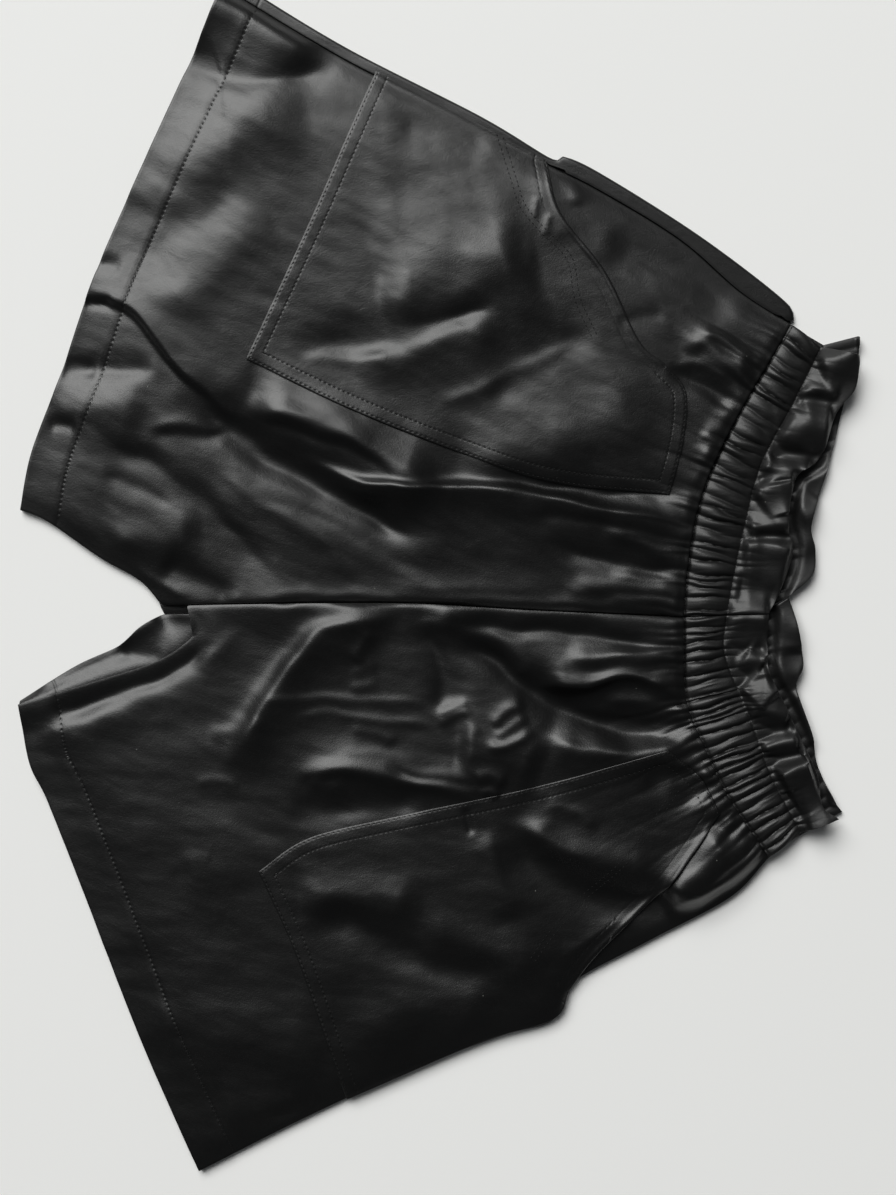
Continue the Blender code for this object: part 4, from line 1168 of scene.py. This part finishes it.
def turned_column(edge, seam, angle, share, depth):
    """One column of the right back beyond its edge, at a depth inside the leather."""
    radius = SIDE_RADIUS - depth
    uneven = CROWN * noise(edge, CROWN_SIZE, CROWN_SEED)
    swell = uneven * max(0, math.sin(angle)) * (1 - share)
    strip = distance(edge, seam) - GAP
    reach = radius * math.cos(angle) - share * strip
    places = edge + to_right(edge) * reach[:, None]
    height = SIDE_RADIUS + radius * math.sin(angle) + swell
    return np.column_stack((places, height))


def make_back_right():
    edge = beside(smooth_line(SIDE_EDGE_RIGHT), -SIDE_RADIUS)
    hem = smooth_line((SIDE_EDGE_RIGHT[-1], *HEM_RIGHT[1:]))
    hem[0] = edge[-1]
    inner = np.vstack((smooth_line(INSEAM_RIGHT)[:-1], beside(smooth_line(CENTRE_BACK), -GAP / 2)))
    waist = waists["back", "right"].panel_edge()
    waist[-1] = edge[0]
    rows, columns = round(length_of(edge) / BACK_GRID), round(length_of(hem) / BACK_GRID)
    flat = coons(hem[::-1], waist, inner, edge[::-1], rows, columns)
    edge = flat[:, -1]
    outer = over_flat(flat, np.zeros(flat[..., 0].size))
    inside = over_flat(flat, CLOTH + hem_ply(flat.reshape(-1, 2), hem))
    stations = turn_stations()
    outward = edge[::-1]

    def beyond(depth):
        turned_over = [turned_column(outward, side_seam, *station, depth) for station in stations]
        return np.stack([column[::-1] for column in turned_over], axis=1)

    outer = np.concatenate((outer, beyond(0)), axis=1)
    inside = np.concatenate((inside, beyond(CLOTH)), axis=1)
    obj = cloth_wall("panel_back_right", outer, inside, panel_leather, BACK_RIM)
    store(obj, "from_edge", lambda points: distance(points[:, :2], hem) / MM)
    return obj, flat


def make_back_left():
    inner = np.vstack((smooth_line(BACK_INSEAM_LEFT)[:-1], beside(smooth_line(CENTRE_BACK), GAP / 2)))
    rows = round(length_of(left.side) / FINE_BACK_GRID)
    columns = round(length_of(left.hem) / FINE_BACK_GRID)
    waist = waists["back", "left"].panel_edge()
    flat = coons(left.hem[::-1], waist, inner, left.side[::-1], rows, columns)
    places = flat.reshape(-1, 2)
    rise = tuck(places, left.tucked, left.inseam) + fold_heights(places, CROTCH_FOLDS)
    rise = np.maximum(rise, 0)
    thickness = CLOTH + hem_ply(places, left.hem)
    outer, under = over_flat(flat, rise + thickness), over_flat(flat, rise)
    obj = cloth_wall("panel_back_left", outer, under, panel_leather, BACK_RIM)
    store(obj, "from_edge", lambda points: distance(points[:, :2], left.hem) / MM)
    return obj, flat


backs = {"right": make_back_right(), "left": make_back_left()}
for side, (obj, places) in backs.items():
    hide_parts(f"back_{side}")
    print("back", side, round(area_of(places), 4), "m2,", triangles[obj.name], "triangles")

# %% [markdown]
# ## Casings and ruffles
#
# A casing is a grid with one column for each step along the waist. Its rows run from the
# seam to the upper stitches and on to the ruffle's edge. The two rows of stitches hold the
# leather down, so the gathers swell between them. Above the upper stitches the gathers die
# away, and the ruffle bends in broad folds that have lines of their own, as the panels do.

# %% Folds of the front ruffle
RUFFLE_RIGHT = {
    "end_flap": (((816, 366), (838, 359), (857, 353)), 3.4, 5.6, 9.8, 1.4),
    "flap_two": (((796, 396), (815, 392), (836, 398)), 2.5, 4.2, 7.0, 1.4),
    "dark_one": (((788, 402), (810, 399), (834, 405)), -2.5, 3.5, 4.2, 1.4),
    "facet": (((772, 428), (800, 425), (830, 428)), 3.4, 9.8, 12.6, 4.5),
    "dark_two": (((768, 450), (790, 454), (824, 458)), -3.0, 4.2, 5.6, 1.4),
    "ridge": (((758, 464), (785, 470), (810, 474)), 3.0, 5.6, 5.6, 1.5),
    "dark_three": (((754, 480), (778, 480), (804, 478)), -2.8, 4.2, 4.2, 1.4),
    "triangle_top": (((750, 495), (764, 486), (776, 480), (794, 480)), 3.4, 2.8, 9.8, 1.4),
    "triangle_side": (((776, 482), (780, 500), (784, 517)), 2.1, 7.0, 4.2, 1.4),
    "ridge_two": (((746, 531), (766, 527), (790, 526)), 3.2, 5.6, 5.6, 1.5),
    "dark_four": (((744, 538), (766, 537), (790, 538)), -1.8, 2.8, 2.8, 1.4),
    "ridge_three": (((740, 546), (765, 546), (791, 553)), 3.7, 4.2, 16.8, 1.4),
    "slope": (((736, 585), (755, 590), (776, 596)), -1.4, 8.4, 8.4, 3.0),
    "centre": (((724, 612), (745, 611), (768, 611)), 1.6, 7.0, 2.8, 1.4),
}
RUFFLE_LEFT = {
    "centre": (((724, 620), (745, 620), (768, 620)), 1.4, 2.8, 9.8, 1.4),
    "dark_one": (((724, 652), (745, 651), (766, 648)), -2.1, 4.2, 4.2, 1.4),
    "crest": (((745, 651), (755, 657), (764, 662)), 1.8, 4.2, 5.6, 1.4),
    "pit": (((728, 684), (748, 680), (768, 674)), -3.7, 7.0, 4.9, 1.5),
    "flap": (((738, 694), (751, 681), (766, 675), (782, 692)), 3.7, 2.8, 11.2, 1.4),
    "ridge": (((740, 713), (756, 707), (772, 712), (790, 716)), 2.5, 5.6, 5.6, 1.5),
    "dark_two": (((750, 732), (772, 732), (794, 728)), -2.8, 5.6, 4.2, 1.4),
    "ridge_two": (((760, 750), (778, 742), (796, 737)), 2.8, 4.2, 8.4, 1.4),
    "dark_three": (((762, 762), (782, 758), (803, 754)), -3.0, 4.2, 4.2, 1.4),
    "facet": (((776, 776), (792, 767), (808, 761)), 4.6, 3.5, 14.0, 1.4),
    "facet_side": (((779, 793), (786, 806), (796, 822)), -1.8, 5.6, 5.6, 1.5),
    "end_flap": (((805, 830), (824, 826), (840, 812)), 2.1, 7.0, 5.6, 1.5),
}

# %% The grid of a strip, and how its gathers stand up
GATHER_HEIGHT, BETWEEN_HEIGHT = 2.7 * MM, 0.7 * MM
PUFF, PUFF_SHAPE = 1.8 * MM, 0.8  # the casing itself swells between its two rows of stitches
STRAY = 0.011  # how far a gather strays sideways, as a share of the waist
HELD = 0.35  # what a row of stitches leaves of a gather
LET_GO, LET_GO_END = 0.7, 0.12  # what a gather comes back to just above the stitches
DIES = 0.22  # and how soon it dies away in the ruffle, as a share of the ruffle
MOST_LEAN = 1.3  # how far up a gather goes on leaning
STRAY_CELLS = (25, 1.7)  # how quickly the straying changes, along the waist and up it
UNEVEN_GATHERS = 0.35  # how much a gather's height changes on its way
STRAYING, HEIGHTS = (1, 8), (1.3, 21)  # size and seed of the noise for each of them
BETWEEN_STRAYING, BETWEEN_HEIGHTS = (0.7, 4), (1.1, 33)


def strip_grid(waist, row_counts):
    """Places in rows from line to line of a waist, moved off the seam and the centre."""
    lines = [beside(waist.lines[0], waist.out * GAP / 2), *waist.lines[1:]]
    shares = [np.linspace(0, 1, n + 1)[:-1] for n in row_counts]
    rows = [lines[k] * (1 - t) + lines[k + 1] * t for k, part in enumerate(shares) for t in part]
    rows.append(lines[-1])
    up = np.concatenate([k + part for k, part in enumerate(shares)] + [[len(shares)]])
    return np.array(rows) - (waist.out * GAP / 2, 0), up


def gathered(waist, along, up):
    """How far the gathers stand up. up is 0 at the seam, 1 at the upper stitches."""
    leaning = along + waist.drift * np.minimum(up, MOST_LEAN) * np.sin(math.pi * along)
    cells = np.column_stack((along * STRAY_CELLS[0], up * STRAY_CELLS[1]))
    wavy = leaning + STRAY * noise(cells, *STRAYING)
    puff = np.sin(math.pi * np.minimum(up, 1)) ** PUFF_SHAPE
    above = np.maximum(up - 1, 0)
    dies = np.exp(-above / DIES)
    swell = HELD + (1 - HELD) * puff + (LET_GO - HELD) * eased(above / LET_GO_END) * dies
    uneven = 1 + UNEVEN_GATHERS * noise(cells, *HEIGHTS)
    crests = GATHER_HEIGHT * waist.gathers(np.clip(wavy, 0, 1)) * uneven
    between = np.clip(along + STRAY * noise(cells, *BETWEEN_STRAYING), 0, 1)
    crests += BETWEEN_HEIGHT * waist.between(between) * noise(cells, *BETWEEN_HEIGHTS)
    return PUFF * puff + crests * swell * np.where(above > 0, dies, 1)


# %% The front casing
CASING_RIM, RIM_STEPS = 1.0 * MM, 3
BAND_ROWS, RUFFLE_ROWS = 16, 18
RUFFLE_DEPTH = 24 * MM
RUFFLE_SWELL, SWELL_SHAPE = 3.2 * MM, 0.62  # highest beyond its middle
RUFFLE_FOLD, RUFFLE_FADE = 1.5, 0.12
FOLD_START, FOLD_QUICK, WAVE_QUICK = 0.25, 4, 2  # how soon folds and waves stand up in it
RUFFLE_SAG = 1.2 * MM  # how far a trough may sink at the ruffle's edge
RUFFLE_WAVE, RUFFLE_SIZE = 2.2 * MM, 17 * MM
FRONT_WAVE_SEED, BACK_WAVE_SEED = 77, 91


def make_front_waist(side, folds):
    waist = waists["front", side]
    places, up = strip_grid(waist, (BAND_ROWS, RUFFLE_ROWS))
    rows, columns = places.shape[:2]
    along = np.tile(np.linspace(0, 1, columns), rows)
    high = np.repeat(up, columns)
    flat = places.reshape(-1, 2)
    above = np.clip(high - 1, 0, 1)
    ruffle = RUFFLE_SWELL * np.sin(math.pi * np.minimum(above * SWELL_SHAPE, 1))
    folded = RUFFLE_FOLD * fold_heights(flat, folds, RUFFLE_FADE)
    ruffle = ruffle + folded * eased(above * FOLD_QUICK + FOLD_START)
    waves = RUFFLE_WAVE * noise(flat, RUFFLE_SIZE, FRONT_WAVE_SEED)
    ruffle = ruffle + waves * eased(above * WAVE_QUICK)
    ruffle = np.maximum(ruffle, -RUFFLE_SAG * above)
    top = FRONT_BED + CASING + gathered(waist, along, high) + ruffle
    outer = over_flat(places, top)
    inner = lowered(outer, np.full(outer.shape[:2], CASING))
    inner[..., 2] = np.maximum(inner[..., 2], FRONT_BED)
    obj = cloth_wall(f"casing_front_{side}", outer, inner, casing_leather, CASING_RIM, RIM_STEPS)
    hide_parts(f"waistband_front_{side}")
    return obj, places


waist_pieces = {
    ("front", "right"): make_front_waist("right", RUFFLE_RIGHT),
    ("front", "left"): make_front_waist("left", RUFFLE_LEFT),
}

# %% The back casing, which only shows past the front ruffle
BACK_FOLDS = {
    "end": (((822, 342), (840, 338), (858, 336)), 2.3, 5.6, 7.0, 1.4),
    "end_dark": (((838, 352), (848, 350), (858, 348)), -1.7, 4.2, 4.2, 1.4),
    "step": (((824, 500), (812, 515), (800, 520)), 2.1, 7.0, 7.0, 1.5),
    "centre_high": (((780, 585), (795, 620), (800, 655)), 2.8, 7.0, 11.2, 3.0),
    "centre_low": (((770, 660), (785, 672), (803, 676)), 1.8, 4.2, 7.0, 1.5),
    "low": (((790, 690), (805, 712), (814, 750)), 2.3, 4.2, 7.0, 1.5),
    "low_end": (((812, 780), (828, 792), (840, 806)), 1.8, 5.6, 5.6, 1.5),
}
BACK_BAND_ROWS, BACK_RUFFLE_ROWS = 6, 16
BACK_RISE, BACK_FADE = 3.2 * MM, 0.15
FREE_START, FREE_LENGTH = 1.5 * MM, 7 * MM  # where it comes free, past the front's edge


def make_back_waist(side):
    waist = waists["back", side]
    places, up = strip_grid(waist, (BACK_BAND_ROWS, BACK_RUFFLE_ROWS))
    rows, columns = places.shape[:2]
    along, high = np.tile(np.linspace(0, 1, columns), rows), np.repeat(up, columns)
    flat = places.reshape(-1, 2)
    cover = waists["front", side]
    past = nearest(flat, cover.lines[-1])[0] * cover.out
    free = eased((past - FREE_START) / FREE_LENGTH)
    folds = BACK_RISE * eased(free) + fold_heights(flat, BACK_FOLDS, BACK_FADE)
    folds = folds + RUFFLE_WAVE * noise(flat, RUFFLE_SIZE, BACK_WAVE_SEED)
    gathers = BACK_GATHER_HEIGHT * waist.gathers(along) * (1 - free)
    bottom = np.maximum(folds, 0) * free
    outer = over_flat(places, bottom + CASING + gathers)
    inner = over_flat(places, bottom)
    obj = cloth_wall(f"casing_back_{side}", outer, inner, casing_leather, CASING_RIM, RIM_STEPS)
    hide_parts(f"waistband_back_{side}")
    return obj, places


for side in ("right", "left"):
    waist_pieces["back", side] = make_back_waist(side)


def width_share(waist, points):
    """Where a point lies on a strip: 0 at its seam, 1 at the upper stitches, 2 at the edge."""
    low, high = (distance(points[:, :2], waist.lines[k]) for k in (0, 1))
    past = nearest(points[:, :2], waist.lines[1])[0] * waist.out
    return np.where(past > 0, 1 + past / RUFFLE_DEPTH, low / np.maximum(low + high, TINY))


for name, (obj, places) in waist_pieces.items():
    store(obj, "from_edge", lambda points: width_share(waists[name], points))
    print(*name, triangles[obj.name], "triangles")

# %% [markdown]
# ## Stitches
#
# A stitch is a short bead of thread that is pulled into the leather at both ends. A ray cast
# down on to the finished piece gives each one its height and the way the surface faces, so
# the stitches follow every fold. They're small, so each is a sphere of twenty faces,
# stretched along its row, and the stitches of a piece are one mesh.

# %% Rows of stitches
STITCH = (1.8 * MM, 0.7 * MM, 0.4 * MM)  # length, width and height of a bead
BEAD_FACES = 20
ABOVE = 0.1  # from where the rays start
TRIM_STEP = 0.25 * MM


def row_of(places, trim, step=STITCH_STEP):
    """Even places along a line, with a length trimmed off both its ends."""
    fine = spaced(places, count=max(2, round(length_of(places) / TRIM_STEP)))
    skip = round(trim / TRIM_STEP)
    return spaced(fine[skip : len(fine) - skip], step=step)


def sew(name, obj, rows):
    """One mesh of stitches along rows of places, set on the surface of a piece."""
    surface = BVHTree.FromObject(obj, bpy.context.evaluated_depsgraph_get())
    bm = bmesh.new()
    for row in rows:
        heading = np.gradient(row, axis=0)
        for place, forward in zip(row, heading):
            hit, normal, _, _ = surface.ray_cast(Vector((*place, ABOVE)), Vector((0, 0, -1)))
            if hit is None:
                continue
            along = Vector((*forward, 0))
            along = (along - normal * along.dot(normal)).normalized()
            across = normal.cross(along)
            turn = Matrix((along, across, normal)).transposed().to_4x4()
            stretch = Matrix.Diagonal((STITCH[0] / 2, STITCH[1] / 2, STITCH[2] / 2, 1))
            lay = Matrix.Translation(hit) @ turn @ stretch
            bmesh.ops.create_icosphere(bm, subdivisions=1, radius=1, matrix=lay)
    mesh = bpy.data.meshes.new(name)
    bm.to_mesh(mesh)
    bm.free()
    sewn = add_piece(name, mesh, thread)
    return sewn


# %% Stitches of the hems
SEAM_TRIM = 3 * MM  # a row stops this short of the seams
hem_rows = {"right": beside(right.hem, -HEM_DEPTH), "left": beside(left.hem, HEM_DEPTH)}
hem_stitches = {
    side: sew(f"hem_stitches_{side}", fronts[side][0], [row_of(row, SEAM_TRIM)])
    for side, row in hem_rows.items()
}

# %% Stitches of the pockets: two rows round the sewn edges, two more where the facing is
FACING_RIGHT = ((494, 126), (510, 180), (520, 210), (540, 235), (566, 262), (574, 302), (592, 342))
FACING_STEP = 3.2 * MM
FACING_WIDTH = 27 * MM  # of the left pocket's facing


def pocket_rows(pocket, facing, inward):
    rows = []
    for depth in (EDGE_ROW, INNER_ROW):
        for edge in (pocket.hem_side, pocket.inner, pocket.waist_end):
            rows.append(row_of(beside(edge, inward * depth), depth))
    for shift in (0, FACING_STEP):
        rows.append(row_of(beside(facing, inward * shift), SEAM_TRIM))
    return rows


facing_left = beside(pockets["left"].opening, FACING_WIDTH)
stitched = {
    "right": pocket_rows(pockets["right"], smooth_line(FACING_RIGHT), -1),
    "left": pocket_rows(pockets["left"], facing_left, 1),
}
pocket_stitches = {
    side: sew(f"pocket_stitches_{side}", pocket_pieces[side][0], rows)
    for side, rows in stitched.items()
}

# %% Stitches of the casings
CASING_ROW_INSET, CASING_TRIM, CASING_STEP = 1.2 * MM, 2 * MM, 2.6 * MM


def casing_rows(waist):
    low = beside(waist.lines[0], waist.out * CASING_ROW_INSET)
    return [row_of(row, CASING_TRIM, CASING_STEP) for row in (low, waist.lines[1])]


for side in ("right", "left"):
    casing = waist_pieces["front", side][0]
    sew(
        f"casing_stitches_{side}", casing, casing_rows(waists["front", side])
    )
for name in ("hem_stitches_right", "pocket_stitches_right", "casing_stitches_right"):
    print(name, triangles[name] // BEAD_FACES, "stitches")

# %% [markdown]
# ## Why pieces are cut larger
#
# A gathered strip is cut much longer than it ends up, and a panel that lies in folds is a
# little larger than the place it covers.


# %% [markdown]
# ## The floor, the light and the camera
#
# The photograph was taken from straight above, with the light of one large soft window
# beyond the top left corner. Black satin shows almost nothing but what it mirrors, so the
# place of that window decides which slopes of the folds shine: those that face the top left.
# The garment is as wide as the view, and a close camera looks at its two legs from different
# sides. That is why the upper leg mirrors more of the window than the lower one does.

# %% Floor
FLOOR_SIZE = 6.0
FLOOR_COLOUR, FLOOR_ROUGHNESS = (0.92, 0.92, 0.91), 0.85


def pale_floor():
    bm = bmesh.new()
    bmesh.ops.create_grid(bm, x_segments=1, y_segments=1, size=FLOOR_SIZE / 2)
    mesh = bpy.data.meshes.new("floor")
    bm.to_mesh(mesh)
    bm.free()
    floor = bpy.data.objects.new("floor", mesh)
    bpy.context.scene.collection.objects.link(floor)
    material = bpy.data.materials.new("pale_surface")
    material.use_nodes = True
    shader = material.node_tree.nodes["Principled BSDF"]
    shader.inputs["Base Color"].default_value = (*FLOOR_COLOUR, 1)
    shader.inputs["Roughness"].default_value = FLOOR_ROUGHNESS
    mesh.materials.append(material)


pale_floor()

# %% Light
WINDOW_AT = Vector((-8.2, -4.3, 9.4))
WINDOW_SIZE = (9.8, 7.6)
WINDOW_POWER, WINDOW_COLOUR = 1380.0, (1.0, 0.995, 0.98)
BOUNCE_AT = Vector((-6.7, -4.0, 8.1))
BOUNCE_SIZE = (10.2, 10.2)
BOUNCE_POWER, BOUNCE_COLOUR = 620.0, (0.98, 1.0, 0.99)
SKY, SKY_COLOUR = 0.06, (0.95, 0.98, 1.0)


def area_light(name, place, size, power, colour):
    """A soft rectangular light that faces the middle of the surface."""
    data = bpy.data.lights.new(name, "AREA")
    data.shape = "RECTANGLE"
    data.size, data.size_y = size
    data.energy = power
    data.color = colour
    light = bpy.data.objects.new(name, data)
    light.location = place
    light.rotation_euler = (-place).to_track_quat("-Z", "Y").to_euler()
    bpy.context.scene.collection.objects.link(light)


area_light("window", WINDOW_AT, WINDOW_SIZE, WINDOW_POWER, WINDOW_COLOUR)
area_light("bounce", BOUNCE_AT, BOUNCE_SIZE, BOUNCE_POWER, BOUNCE_COLOUR)
world = bpy.data.worlds.new("room")
world.use_nodes = True
world.node_tree.nodes["Background"].inputs["Color"].default_value = (*SKY_COLOUR, 1)
world.node_tree.nodes["Background"].inputs["Strength"].default_value = SKY
bpy.context.scene.world = world
bpy.context.scene.view_settings.view_transform = "Standard"

# %% Camera
CAMERA_HEIGHT = 1.0
FRAME_PX = (896, 1195)
SURFACE = 4 * MM  # the height at which the frame's size was measured
SENSOR = 36.0


def camera_above():
    data = bpy.data.cameras.new("camera")
    data.sensor_width = SENSOR
    data.lens = SENSOR * (CAMERA_HEIGHT - SURFACE) / (FRAME_PX[1] * PX)
    camera = bpy.data.objects.new("camera", data)
    centre = at(FRAME_PX[0] / 2, FRAME_PX[1] / 2)
    camera.location = (*centre, CAMERA_HEIGHT)
    camera.rotation_euler = (0, 0, math.pi / 2)
    bpy.context.scene.collection.objects.link(camera)
    bpy.context.scene.camera = camera
    return camera


camera = camera_above()
print("camera at", [round(v, 4) for v in camera.location], "lens", round(camera.data.lens, 2))

# %% [markdown]
# ## Triangles at the end
#
# The dressed garment has to stay the size of the solids. The script prints how many triangles
# its pieces have in all.

# %% Triangles
print("triangles in all:", sum(triangles.values()))
